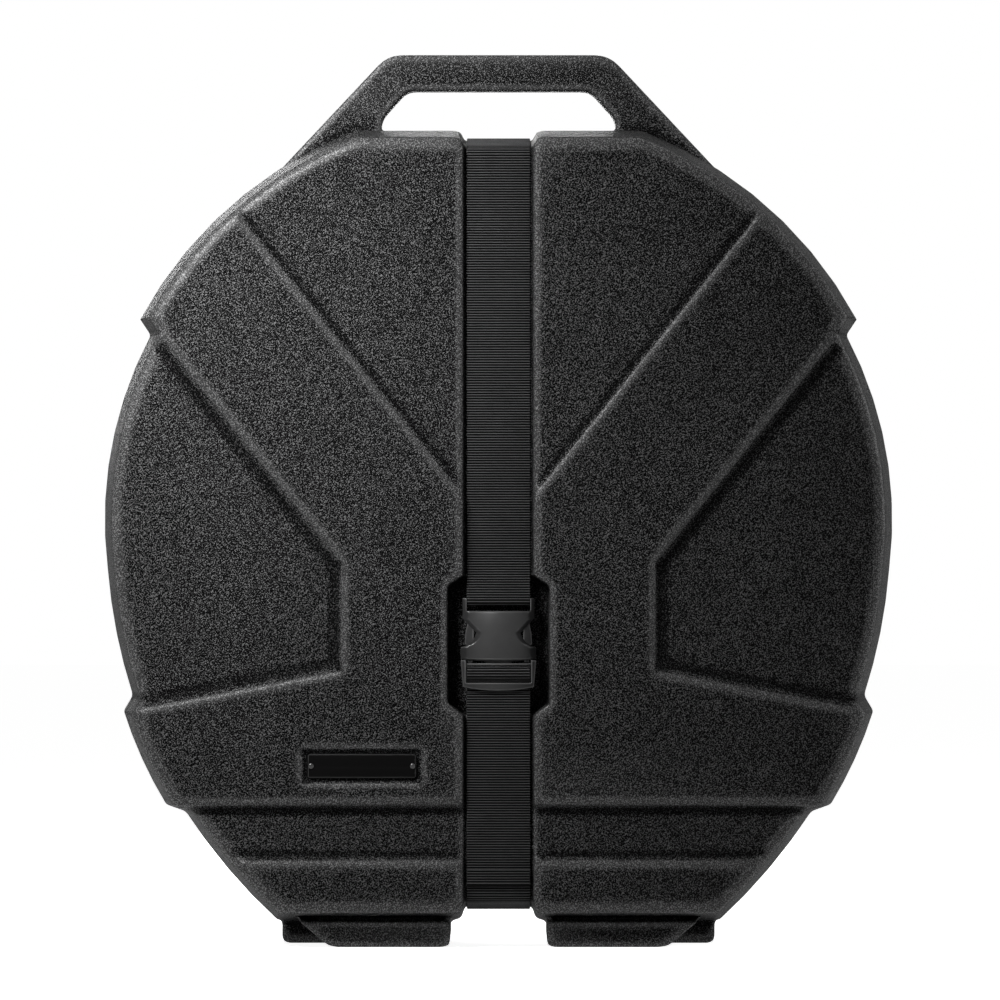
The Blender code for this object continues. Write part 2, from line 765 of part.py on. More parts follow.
def add_feet(obj, side, bottom_half, top_half, material):
    """Hollow moulded feet under a shell, open to its inside."""
    deep = HALF_DEPTH - FOOT_SETBACK
    near = side * deep
    far = -PARTING_DEPTH + side * FOOT_TO_PARTING
    for mirror in (1, -1):
        block = foot_outline(bottom_half, top_half, 0, BASE_HEIGHT + WALL / 2)
        core = foot_outline(bottom_half, top_half, WALL, BASE_HEIGHT + WALL + FACE_INSET)
        block, core = ([(mirror * x, z) for x, z in part] for part in (block, core))
        solid = finish("foot", prism(block, near, far), material)
        combine(obj, [solid], "UNION")
        hollow = finish("foot_core", prism(core, near - side * WALL, far + side * WALL), material)
        combine(obj, [hollow], "DIFFERENCE")


def handle_outline():
    """The handle as an arch: over its outside, then back along the shell and round its opening."""
    sunk = [point for point in inset_half(WALL / 2, 0)[1:-1] if point[1] > BAND_FOOT_HEIGHT]
    foot_height = circle_half(BAND_RADIUS, 0, HANDLE_FOOT_HALF) + BAND_CENTRE
    foot = (HANDLE_FOOT_HALF, foot_height)
    corner = (HANDLE_CORNER_HALF, HANDLE_TOP)
    arm = step_line(*foot, corner[0] - foot[0], corner[1] - foot[1])
    index, part = crossing(sunk, arm, 0)
    landing = share(sunk[index], sunk[index + 1], part)
    under = HANDLE_TOP - GRIP_HEIGHT
    mouth = (OPENING_HALF, TOP_HEIGHT - WALL / 2)
    shoulder = (OPENING_HALF, TOP_HEIGHT + OPENING_SHOULDER)
    grip_end = (GRIP_HALF, under)

    def soft(before, at, after, length, steps):
        return ease(towards(at, before, length), at, towards(at, after, length), steps)

    outer = [landing] + soft(foot, corner, (0, HANDLE_TOP), HANDLE_CORNER_EASE, BOW_STEPS)
    inner = (
        soft((0, under), grip_end, shoulder, OPENING_EASE, EDGE_STEPS)
        + soft(grip_end, shoulder, mouth, OPENING_EASE, EDGE_STEPS)
        + [mouth]
    )
    base = [point for point in sunk[: index + 1] if point[0] > OPENING_HALF]
    return outer, inner, base


def add_handle(obj, material):
    """The grip handle, its section rounded except where it meets the shell."""
    outer, inner, base = handle_outline()
    outline = outer + mirrored(outer) + mirrored(base) + mirrored(inner) + inner + base
    near = -PARTING_DEPTH + HANDLE_SETBACK
    bm = prism(outline, near, near + HANDLE_DEPTH)
    bmesh.ops.recalc_face_normals(bm, faces=bm.faces)
    sunk = {(round(x / WELD), round(z / WELD)) for x, z in base + [outer[0], inner[-1]]}

    def buried(vert):
        return (round(abs(vert.co.x) / WELD), round(vert.co.z / WELD)) in sunk

    edges = [
        edge for edge in bm.edges
        if abs(edge.verts[0].co.y - edge.verts[1].co.y) < WELD
        and not (buried(edge.verts[0]) and buried(edge.verts[1]))
    ]
    rounded(bm, edges, HANDLE_ROUND, EDGE_STEPS)
    combine(obj, [finish("handle", bm, material)], "UNION")


def round_cutters(places, radius, near, far, material):
    return [
        turned("cutter", [(0, near), (radius, near), (radius, far), (0, far)], x, z, material, SMALL_SIDES)
        for x, z in places
    ]


def screw_places():
    middle = (BADGE_LOW + BADGE_HIGH) / 2
    reach = BADGE_MARGIN + SCREW_INSET
    return [(BADGE_LEFT + reach, middle), (BADGE_RIGHT - reach, middle)]


def bolt_places():
    turns = [math.pi * (2 * index + 1) / BOLT_COUNT for index in range(BOLT_COUNT)]
    return [(BOLT_CIRCLE * math.cos(a), BAY_CENTRE + BOLT_CIRCLE * math.sin(a)) for a in turns]


def build_shells(plastic):
    rear = shell("rear_shell", REAR, plastic)
    add_feet(rear, REAR, REAR_FOOT_HALF, REAR_FOOT_HALF, plastic)
    add_handle(rear, plastic)
    holes = round_cutters(bolt_places(), BOLT_RADIUS + BOLT_ROOM, POST_FOOT, CHANNEL_LEVEL + OVERRUN, plastic)
    combine(rear, holes, "DIFFERENCE")
    front = shell("front_shell", FRONT, plastic)
    add_feet(front, FRONT, FRONT_FOOT_HALF, FRONT_FOOT_TOP_HALF, plastic)
    near = BAND_LEVEL - BADGE_SINK - WALL - OVERRUN
    holes = round_cutters(screw_places(), SCREW_SHANK_RADIUS + GAP, -BAND_LEVEL, -near, plastic)
    combine(front, holes, "DIFFERENCE")


# Foam
def bay_point(x, z, radius):
    """The point of the bay's circle in line with a point of the outline."""
    reach = math.hypot(x, z - BAY_CENTRE)
    return x * radius / reach, BAY_CENTRE + (z - BAY_CENTRE) * radius / reach


def dense_loop(inset):
    """The outline moved inwards, its long stretches divided so that the bay's circle stays round."""
    edge = outline_loop(0)
    points = outline_loop(inset, inset)
    dense = []
    for index, point in enumerate(points):
        after = (index + 1) % len(points)
        parts = math.ceil(math.dist(edge[index], edge[after]) / FOAM_STEP)
        dense += [share(point, points[after], part / parts) for part in range(parts)]
    return dense


def side_foam(name, side, mouth, deep, mouth_inset, material):
    """A ring of foam between a shell's wall and the bay for the cymbals."""
    deep_inset = WALL + DRAFT + FOAM_ROOM
    rings = []
    for depth, inset in ((mouth, mouth_inset), (deep, deep_inset)):
        rings.append([(x, side * depth, z) for x, z in dense_loop(inset)])
    for depth in (deep, mouth):
        bay = [bay_point(x, z, BAY_RADIUS) for x, z in dense_loop(deep_inset)]
        rings.append([(x, side * depth, z) for x, z in bay])
    bm = bmesh.new()
    loops = [[bm.verts.new(point) for point in ring] for ring in rings]
    for first, second in zip(loops, loops[1:] + loops[:1]):
        for index in range(len(first)):
            after = (index + 1) % len(first)
            bm.faces.new((first[index], first[after], second[after], second[index]))
    return finish(name, bm, material)


def build_foam(foam):
    face = CHANNEL_LEVEL - WALL - GAP
    inner_edge = HALF_DEPTH - STRIP_DROP + BAND_RISE - EDGE_RADIUS - WALL
    tongue_inset = 2 * WALL + TONGUE_ROOM + TONGUE_LEAN + FOAM_ROOM
    ledge = WALL + 2 * GAP - PARTING_DEPTH
    side_foam("base_side_foam", REAR, ledge, inner_edge, tongue_inset, foam)
    mouth = PARTING_DEPTH + TONGUE_HEIGHT + GAP
    side_foam("cover_side_foam", FRONT, mouth, inner_edge, WALL + DRAFT + FOAM_ROOM, foam)
    pad_radius = BAY_RADIUS - PAD_ROOM
    hole = FLANGE_RADIUS + PAD_ROOM
    turned("base_pad", tube(hole, pad_radius, face - BASE_PAD_THICK, face), 0, BAY_CENTRE, foam)
    front_face = -(face - COVER_PAD_THICK)
    disc = [(0, -face), (pad_radius, -face), (pad_radius, front_face), (0, front_face)]
    pad = turned("cover_pad", disc, 0, BAY_CENTRE, foam)
    room = WALL + PAD_ROOM
    low = POCKET_LOW - POCKET_LOW_CORNER - room
    high = POCKET_HIGH + POCKET_HIGH_CORNER + room
    cut = box_corners(-POCKET_HALF - room, POCKET_HALF + room, low, high)
    cutter = finish("cutter", prism(cut, -face - OVERRUN, front_face + OVERRUN), foam)
    combine(pad, [cutter], "DIFFERENCE")


# Centre post
def build_post(plastic, steel, felt):
    flange_top = POST_FOOT - FLANGE_THICK
    hub_top = POST_FOOT - HUB_HEIGHT
    bore = ROD_RADIUS + GAP
    profile = [
        (bore, POST_FOOT), (FLANGE_RADIUS, POST_FOOT), (FLANGE_RADIUS, flange_top),
        (HUB_RADIUS, flange_top), (HUB_RADIUS, hub_top), (bore, hub_top),
    ]
    flange = turned("post_flange", profile, 0, BAY_CENTRE, plastic)
    reach = BOLT_RADIUS + BOLT_ROOM
    holes = round_cutters(bolt_places(), reach, flange_top - OVERRUN, POST_FOOT + OVERRUN, plastic)
    combine(flange, holes, "DIFFERENCE")
    head_foot = flange_top - GAP
    for index, (x, z) in enumerate(bolt_places()):
        profile = [
            (0, CHANNEL_LEVEL - GAP), (BOLT_RADIUS, CHANNEL_LEVEL - GAP), (BOLT_RADIUS, head_foot),
            (BOLT_HEAD_RADIUS, head_foot), (BOLT_HEAD_RADIUS, head_foot - BOLT_HEAD_HEIGHT),
            (0, head_foot - BOLT_HEAD_HEIGHT),
        ]
        turned(f"flange_bolt_{index + 1}", profile, x, z, steel, SMALL_SIDES)
    tip = POST_FOOT - ROD_LENGTH
    rod = [(0, POST_FOOT), (ROD_RADIUS, POST_FOOT), (ROD_RADIUS, tip), (0, tip)]
    turned("post_rod", rod, 0, BAY_CENTRE, steel, SMALL_SIDES)
    sleeve_radius = bore + SLEEVE_WALL
    sleeve_foot = hub_top - GAP
    sleeve = tube(bore, sleeve_radius, sleeve_foot - SLEEVE_LENGTH, sleeve_foot)
    turned("post_sleeve", sleeve, 0, BAY_CENTRE, plastic, SMALL_SIDES)
    lower = tube(sleeve_radius + GAP, LOWER_FELT_RADIUS, sleeve_foot - LOWER_FELT_THICK, sleeve_foot)
    turned("lower_felt", lower, 0, BAY_CENTRE, felt)
    knob_front = tip + ROD_PAST_KNOB
    knob_back = knob_front + KNOB_HEIGHT
    knob = [
        (bore, knob_front), (KNOB_RADIUS - KNOB_EDGE, knob_front), (KNOB_RADIUS, knob_front + KNOB_EDGE),
        (KNOB_RADIUS, knob_back - KNOB_EDGE), (KNOB_RADIUS - KNOB_EDGE, knob_back), (bore, knob_back),
    ]
    turned("post_knob", knob, 0, BAY_CENTRE, plastic, ROUND_SIDES, KNOB_LOBE, KNOB_RADIUS - KNOB_EDGE)
    washer_front = knob_back + GAP
    washer = tube(bore, WASHER_RADIUS, washer_front, washer_front + WASHER_THICK)
    turned("clamp_washer", washer, 0, BAY_CENTRE, steel)
    felt_front = washer_front + WASHER_THICK + GAP
    upper = tube(bore, UPPER_FELT_RADIUS, felt_front, felt_front + UPPER_FELT_THICK)
    turned("upper_felt", upper, 0, BAY_CENTRE, felt)


# Badge plate
def build_badge(metal, steel):
    left, right = BADGE_LEFT + BADGE_MARGIN, BADGE_RIGHT - BADGE_MARGIN
    low, high = BADGE_LOW + BADGE_MARGIN, BADGE_HIGH - BADGE_MARGIN
    back = -(BAND_LEVEL - BADGE_SINK + GAP)
    front = back - PLATE_THICK
    outline = chamfered(left, right, low, high, PLATE_CORNER)
    plate = finish("badge_plate", prism(outline, front, back), metal)
    cutters = round_cutters(screw_places(), SCREW_SHANK_RADIUS + GAP, front - OVERRUN, back + OVERRUN, metal)
    combine(plate, cutters, "DIFFERENCE")
    seat = front - GAP
    tip = back + GAP + WALL
    for name, (x, z) in zip(("badge_screw_left", "badge_screw_right"), screw_places()):
        dome = []
        for step in range(EDGE_STEPS + 1):
            angle = math.pi / 2 * step / EDGE_STEPS
            dome.append((SCREW_HEAD_RADIUS * math.sin(angle), seat - SCREW_HEAD_HEIGHT * math.cos(angle)))
        dome[0] = (0, seat - SCREW_HEAD_HEIGHT)
        shank = [(SCREW_SHANK_RADIUS, seat), (SCREW_SHANK_RADIUS, tip), (0, tip)]
        turned(name, dome + shank, x, z, steel, SMALL_SIDES)


# Strap
def channel_profile(side, top):
    """The strap channel's floor over the top or under the base of one shell, from the parting to the face."""
    points = []
    for inset, growth, depth_at in shell_section(side):
        if growth:
            continue
        level = TOP_HEIGHT - TOP_CHANNEL_DROP - inset if top else BASE_HEIGHT + BASE_CHANNEL_DROP + inset
        points.append((side * depth_at(CHANNEL_LEVEL), level))
    return points[::-1]


def build_strap(webbing_black):
    over_top = channel_profile(REAR, True)
    under = channel_profile(REAR, False)
    back = along_strap(over_top[:-1] + [over_top[-1], under[-1]] + under[-2::-1], GAP, GAP + WEB_THICK)
    webbing("strap_back_run", back, webbing_black)

    bar_depth, bar_height = buckle_bar()
    reach = BAR_RADIUS + GAP
    over = channel_profile(FRONT, True)
    start = -PARTING_DEPTH - GAP / 2
    over[0] = (start, over[0][1])
    over = over[:1] + [point for point in over[1:] if point[0] < start]
    front_line = -CHANNEL_LEVEL
    bend_high = POCKET_HIGH + POCKET_HIGH_CORNER
    fold_top = bar_height + FOLD_LENGTH
    loop = []
    for step in range(TURN_STEPS + 1):
        angle = math.pi * (1 + step / TURN_STEPS)
        loop.append((-bar_depth + reach * math.cos(angle), bar_height + reach * math.sin(angle)))
    lead = [(front_line, bend_high)]
    fold_depth = -STRAP_FRONT + WEB_THICK + 2 * GAP
    tuck = [(fold_depth, bar_height + FOLD_RISE), (fold_depth, fold_top)]
    run = over + lead + loop + tuck
    outline = along_strap(run[::-1], GAP, GAP + WEB_THICK)
    webbing("strap_upper_run", outline, webbing_black)

    under_front = channel_profile(FRONT, False)
    under_front[0] = (start, under_front[0][1])
    run_top = crossbar_low() - PLUG_TRAVEL - OVERRUN
    run = under_front + [(front_line, run_top)]
    webbing("strap_lower_run", along_strap(run, GAP, GAP + WEB_THICK), webbing_black)
    build_strap_end(run_top + GAP, webbing_black)


def build_strap_end(start, webbing_black):
    """The webbing round the plug's middle bar, and the tail that hangs from it."""
    low = buckle_plug_low()
    bar_low = low + LOWER_BAR_HEIGHT + MIDDLE_BAR_RISE
    bar_high = bar_low + MIDDLE_BAR_HEIGHT
    bar_front = wrap_bar_depth() + MIDDLE_BAR_THICK
    inner_front = bar_front + GAP
    turn_radius = (inner_front - STRAP_FRONT) / 2
    centre_depth = STRAP_FRONT + turn_radius
    path = [(-STRAP_FRONT, start)]
    for step in range(TURN_STEPS + 1):
        angle = math.pi * step / TURN_STEPS
        depth = centre_depth - turn_radius * math.cos(angle)
        path.append((-depth, bar_high + turn_radius * math.sin(angle)))
    middle = (low + LOWER_BAR_HEIGHT + bar_low) / 2
    tail_top = low - PLUG_BULGE - GAP - WEB_THICK / 2
    path += [(-inner_front, middle + WEB_THICK), (-TAIL_BACK, middle - WEB_THICK / 2)]
    path.append((-TAIL_BACK, tail_top + GAP))
    outline = along_strap(path, 0, -WEB_THICK)
    webbing("strap_wrap", outline, webbing_black)
    hem = TAIL_LOW + HEM_LENGTH
    hem_front = TAIL_FRONT + WEB_THICK
    tail = [
        (-TAIL_BACK, tail_top), (-TAIL_BACK, TAIL_LOW), (-hem_front, TAIL_LOW), (-hem_front, hem),
        (-TAIL_FRONT, hem + WEB_THICK), (-TAIL_FRONT, tail_top),
    ]
    webbing("strap_tail", tail, webbing_black)


# Buckle
def buckle_bar():
    """Depth and height of the bar that the upper run is sewn round."""
    return BUCKLE_DEPTH, SOCKET_HIGH + EAR_RISE - BAR_BELOW_EAR


def buckle_plug_low():
    """Height of the underside of the plug's lower bar, at its ends."""
    return SOCKET_LOW - PLUG_TOP_GAP - PLUG_HEIGHT


def crossbar_low():
    """Height of the underside of the crossbar that carries the plug's guide and prongs."""
    return buckle_plug_low() + PLUG_HEIGHT - SOCKET_BULGE - CROSSBAR_HEIGHT


def wrap_bar_depth():
    """Depth of the back of the plug's middle bar."""
    return STRAP_FRONT + WEB_THICK / 2


def bulged(half, height, bulge):
    """An edge from right to left that bulges downwards in its middle."""
    return bow((half, height), (-half, height), bulge, 2 * BOW_STEPS)


def build_socket(acetal):
    waist = (WAIST_HALF, SOCKET_LOW + WAIST_RISE)
    shoulder = (SOCKET_HALF, SOCKET_LOW + SHOULDER_HEIGHT)
    ear_foot = (EAR_OUTER, SOCKET_HIGH - EAR_FOOT_DROP)
    ear_top = SOCKET_HIGH + EAR_RISE
    right = (
        [(EAR_INNER, SOCKET_HIGH), (EAR_INNER, ear_top), (EAR_OUTER, ear_top), ear_foot]
        + bow(ear_foot, waist, 0, CORNER_STEPS)
        + bow(waist, shoulder, -SOCKET_SIDE, BOW_STEPS)
        + [(SOCKET_HALF, SOCKET_LOW)]
    )
    outline = right + bulged(SOCKET_HALF, SOCKET_LOW, SOCKET_BULGE)[:-1] + mirrored(right)
    near, far = -BUCKLE_DEPTH - SOCKET_THICK / 2, -BUCKLE_DEPTH + SOCKET_THICK / 2
    bm = prism(outline, near, far)
    bmesh.ops.recalc_face_normals(bm, faces=bm.faces)
    edges = [edge for edge in bm.edges if abs(edge.verts[0].co.y - edge.verts[1].co.y) < WELD]
    rounded(bm, edges, SOCKET_ROUND, CORNER_STEPS)
    socket = finish("buckle_socket", bm, acetal)
    bay_half = SOCKET_HALF - SOCKET_SIDE
    bay = box_corners(-bay_half, bay_half, SOCKET_LOW - SOCKET_BULGE - OVERRUN, SOCKET_HIGH - SOCKET_ROOF)
    hollow = finish("cutter", prism(bay, near + SOCKET_SKIN, far - SOCKET_SKIN), acetal)
    combine(socket, [hollow], "DIFFERENCE")
    depth, height = buckle_bar()
    bar = []
    for step in range(BAR_SIDES):
        angle = 2 * math.pi * step / BAR_SIDES
        bar.append((-depth + BAR_RADIUS * math.cos(angle), height + BAR_RADIUS * math.sin(angle)))
    middle = (EAR_INNER + EAR_OUTER) / 2
    combine(socket, [finish("bar", across_prism(bar, middle), acetal)], "UNION")


def build_plug(acetal):
    low = buckle_plug_low()
    top = low + PLUG_HEIGHT
    front = -(wrap_bar_depth() + MIDDLE_BAR_THICK + WEB_THICK)
    bar_back = -(TAIL_FRONT + GAP)
    outline = [(-PLUG_TOP_HALF, top), (PLUG_TOP_HALF, top), (PLUG_FOOT_HALF, low)]
    outline += bulged(PLUG_FOOT_HALF, low, PLUG_BULGE)
    frame = finish("buckle_plug", prism(outline, front, bar_back), acetal)
    window = box_corners(-PLUG_WINDOW_HALF, PLUG_WINDOW_HALF, low + LOWER_BAR_HEIGHT, top + OVERRUN)
    cutter = finish("cutter", prism(window, front - OVERRUN, bar_back + OVERRUN), acetal)
    combine(frame, [cutter], "DIFFERENCE")
    cheek_back = -BUCKLE_DEPTH + PRONG_THICK / 2
    parts = []
    for mirror in (1, -1):
        foot, head = low + LOWER_BAR_HEIGHT / 2, top - OVERRUN
        cheek = [
            (mirror * PLUG_WINDOW_HALF, foot), (mirror * PLUG_WINDOW_HALF, head),
            (mirror * (PLUG_TOP_HALF - OVERRUN), head), (mirror * (PLUG_FOOT_HALF - OVERRUN), foot),
        ]
        parts.append(finish("cheek", prism(cheek, front + OVERRUN, cheek_back), acetal))
    reach = (PLUG_WINDOW_HALF + PLUG_FOOT_HALF) / 2
    bar_low = low + LOWER_BAR_HEIGHT + MIDDLE_BAR_RISE
    bar = box_corners(-reach, reach, bar_low, bar_low + MIDDLE_BAR_HEIGHT)
    bar_depth = wrap_bar_depth()
    parts.append(finish("middle_bar", prism(bar, -bar_depth - MIDDLE_BAR_THICK, -bar_depth), acetal))
    crossbar = box_corners(-reach, reach, crossbar_low(), crossbar_low() + CROSSBAR_HEIGHT)
    parts.append(finish("crossbar", prism(crossbar, front + 2 * OVERRUN, cheek_back - OVERRUN), acetal))
    tip = top + GUIDE_LENGTH
    root = crossbar_low() + CROSSBAR_HEIGHT / 2
    tip_half = GUIDE_HALF * GUIDE_TIP_SHARE
    guide = [(-GUIDE_HALF, root), (-GUIDE_HALF, tip - tip_half), (-tip_half, tip)]
    guide += mirrored(guide)
    near, far = -BUCKLE_DEPTH - GUIDE_THICK / 2, -BUCKLE_DEPTH + GUIDE_THICK / 2
    parts.append(finish("guide", prism(guide, near, far), acetal))
    combine(frame, parts, "UNION")


def build_prongs(acetal):
    """The plug's two spring arms, each with the finger pad that shows in the socket's waist."""
    root = buckle_plug_low() + PLUG_HEIGHT - SOCKET_BULGE + GAP
    pad_low, pad_high, tip = SOCKET_LOW + PAD_LOW, SOCKET_LOW + PAD_HIGH, SOCKET_LOW + PRONG_TIP
    right = [
        (PRONG_ROOT_INNER, root), (PRONG_ROOT_OUTER, root), (PRONG_ROOT_OUTER, pad_low - OVERRUN),
        (PRONG_PAD_OUTER, pad_low), (PRONG_PAD_OUTER - OVERRUN / 2, (pad_low + pad_high) / 2),
        (PRONG_ROOT_OUTER, pad_high), (PRONG_PAD_INNER, tip), (PRONG_PAD_INNER, pad_low),
    ]
    near, far = -BUCKLE_DEPTH - PRONG_THICK / 2, -BUCKLE_DEPTH + PRONG_THICK / 2
    finish("prong_right", prism(right, near, far), acetal)
    finish("prong_left", prism(mirrored(right), near, far), acetal)


def make_material(name, colour, roughness, metallic=0):
    material = bpy.data.materials.new(name)
    material.use_nodes = True
    shader = material.node_tree.nodes["Principled BSDF"]
    shader.inputs["Base Color"].default_value = (*colour, 1)
    shader.inputs["Roughness"].default_value = roughness
    shader.inputs["Metallic"].default_value = metallic
    return material


def main():
    for obj in list(bpy.data.objects):
        bpy.data.objects.remove(obj)
    plastic = make_material("moulded_shell", (0.022, 0.022, 0.022), 0.5)
    foam = make_material("charcoal_foam", (0.03, 0.03, 0.03), 0.95)
    felt = make_material("grey_felt", (0.12, 0.12, 0.12), 0.95)
    steel = make_material("zinc_steel", (0.6, 0.6, 0.6), 0.35, 1)
    acetal = make_material("buckle_plastic", (0.03, 0.03, 0.03), 0.38)
    webbing_black = make_material("black_webbing", (0.015, 0.015, 0.015), 0.8)
    plate = make_material("badge_finish", (0.02, 0.02, 0.02), 0.3)
    build_shells(plastic)
    build_foam(foam)
    build_post(acetal, steel, felt)
    build_badge(plate, steel)
    build_strap(webbing_black)
    build_socket(acetal)
    build_plug(acetal)
    build_prongs(acetal)


main()
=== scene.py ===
import math

import bmesh
import bpy
from bpy.props import FloatProperty, FloatVectorProperty, IntProperty, PointerProperty
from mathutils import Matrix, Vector


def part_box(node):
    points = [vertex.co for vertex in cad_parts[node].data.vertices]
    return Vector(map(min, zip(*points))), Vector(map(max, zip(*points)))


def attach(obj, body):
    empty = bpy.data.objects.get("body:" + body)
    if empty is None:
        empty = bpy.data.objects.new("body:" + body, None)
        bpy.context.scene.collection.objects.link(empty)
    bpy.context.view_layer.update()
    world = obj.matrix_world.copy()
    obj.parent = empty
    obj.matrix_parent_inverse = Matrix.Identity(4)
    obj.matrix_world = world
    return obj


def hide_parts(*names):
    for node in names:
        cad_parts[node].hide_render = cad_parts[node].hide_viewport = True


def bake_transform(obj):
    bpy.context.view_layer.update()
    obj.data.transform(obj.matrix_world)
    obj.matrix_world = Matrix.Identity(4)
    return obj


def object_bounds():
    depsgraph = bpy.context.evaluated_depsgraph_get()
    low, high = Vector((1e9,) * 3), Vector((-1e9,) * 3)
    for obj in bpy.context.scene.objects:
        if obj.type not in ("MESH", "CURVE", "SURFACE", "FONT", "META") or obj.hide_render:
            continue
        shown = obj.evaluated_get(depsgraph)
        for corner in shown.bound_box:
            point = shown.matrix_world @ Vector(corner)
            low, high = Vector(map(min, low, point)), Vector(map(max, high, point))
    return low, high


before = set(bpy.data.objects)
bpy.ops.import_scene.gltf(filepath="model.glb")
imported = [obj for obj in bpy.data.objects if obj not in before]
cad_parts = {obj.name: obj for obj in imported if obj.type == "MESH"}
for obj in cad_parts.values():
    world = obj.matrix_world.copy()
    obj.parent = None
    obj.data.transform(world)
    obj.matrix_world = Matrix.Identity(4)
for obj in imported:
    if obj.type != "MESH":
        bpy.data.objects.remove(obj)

bl_info = {
    "name": "Cymbal case",
    "version": (1, 0, 0),
    "blender": (4, 5, 0),
    "location": "3D Viewport > Sidebar > Case",
    "description": "Dresses a moulded case for cymbals: shells, strap, buckle, badge plate, foam and post",
    "category": "Object",
}

# Places that come from the solids, in metres
CASE_LOW, CASE_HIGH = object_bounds()
CASE_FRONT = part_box("front_shell")[0].y
STRAP_LOW, STRAP_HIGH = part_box("strap_back_run")
STRAP_HALF = (STRAP_HIGH.x - STRAP_LOW.x) / 2
FOLD_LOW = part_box("strap_upper_run")[0].z
TAIL_LOW, TAIL_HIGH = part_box("strap_tail")
WRAP_LOW, WRAP_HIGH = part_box("strap_wrap")
SOCKET_LOW, SOCKET_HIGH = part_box("buckle_socket")
ROD_LOW, ROD_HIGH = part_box("post_rod")
PLATE_LOW, PLATE_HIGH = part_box("badge_plate")

# Thickness of the webbing with its ribs, and the gap that joining up a mesh closes
WEB_THICK = 0.002
WELD = 0.00001


# Settings
def size(name, description, default, low=0.0, high=10.0):
    return FloatProperty(
        name=name, description=description, default=default, min=low, max=high,
        subtype="DISTANCE", unit="LENGTH", precision=5,
    )


def amount(name, description, default, low=0.0, high=1.0):
    return FloatProperty(name=name, description=description, default=default, min=low, max=high)


def count(name, description, default, low=0, high=1000):
    return IntProperty(name=name, description=description, default=default, min=low, max=high)


def tone(name, description, default):
    return FloatVectorProperty(
        name=name, description=description, default=default, size=3, subtype="COLOR", min=0, max=1
    )


class StudioSettings(bpy.types.PropertyGroup):
    distance: size("Camera distance", "From the camera to the middle of the case", 7.1)
    frame_width: size("Frame width", "Width of the picture at the case's front", 0.79)
    middle: size("Camera height", "Height of the middle of the picture", 0.3544)
    across: size("Camera offset", "How far right of the middle the camera stands", 0.0012)
    key: amount("Key light", "Power of the lamp at the upper left, in watts", 4.4, high=5000)
    side: amount("Side light", "Power of the lamp at the right, in watts", 14, high=5000)
    top: amount("Top light", "Power of the lamp overhead, in watts", 5, high=5000)
    back: amount("Back light", "Power of the lamp behind the case, in watts", 31, high=5000)
    ambient: amount("Ambient light", "Strength of the light from all around", 0.08)
    floor: tone("Floor", "Colour of the floor", (0.9, 0.9, 0.9))
    glow: amount("Floor glow", "How far the floor is white by itself where it is seen", 0.92)


class ShellSettings(bpy.types.PropertyGroup):
    grain: size("Surface step", "Spacing of the points that the skin is made from", 0.0018)
    softening: count("Softening", "Passes that round the moulded edges", 5)
    faces: count("Triangles", "Most triangles of each shell", 190000, high=200000)
    colour: tone("Colour", "Colour between the grains of the texture", (0.003, 0.003, 0.0031))
    # Paler colour of the grain tops and edges: partly the grain, partly painted highlight
    pale_grain_and_highlight: tone("Grain and painted highlight", "Colour of the tops of the grains", (0.15, 0.15, 0.151))
    roughness: amount("Roughness", "Roughness of the moulded shells", 0.5)
    gloss: amount("Gloss", "How strongly the moulded shells mirror", 0.01)
    burnish: amount("Burnished edges", "How glossy handling has made the edges", 1.0)
    edge_reach: size("Edge height", "How far an edge stands proud to count as a full edge", 0.0009)
    edge_passes: count("Edge width", "Passes that spread what surrounds each point", 14)
    pebble: size("Pebble size", "Size of the grains of the moulded texture", 0.00095)
    pebble_depth: size("Pebble depth", "Depth of the moulded texture", 0.0005)


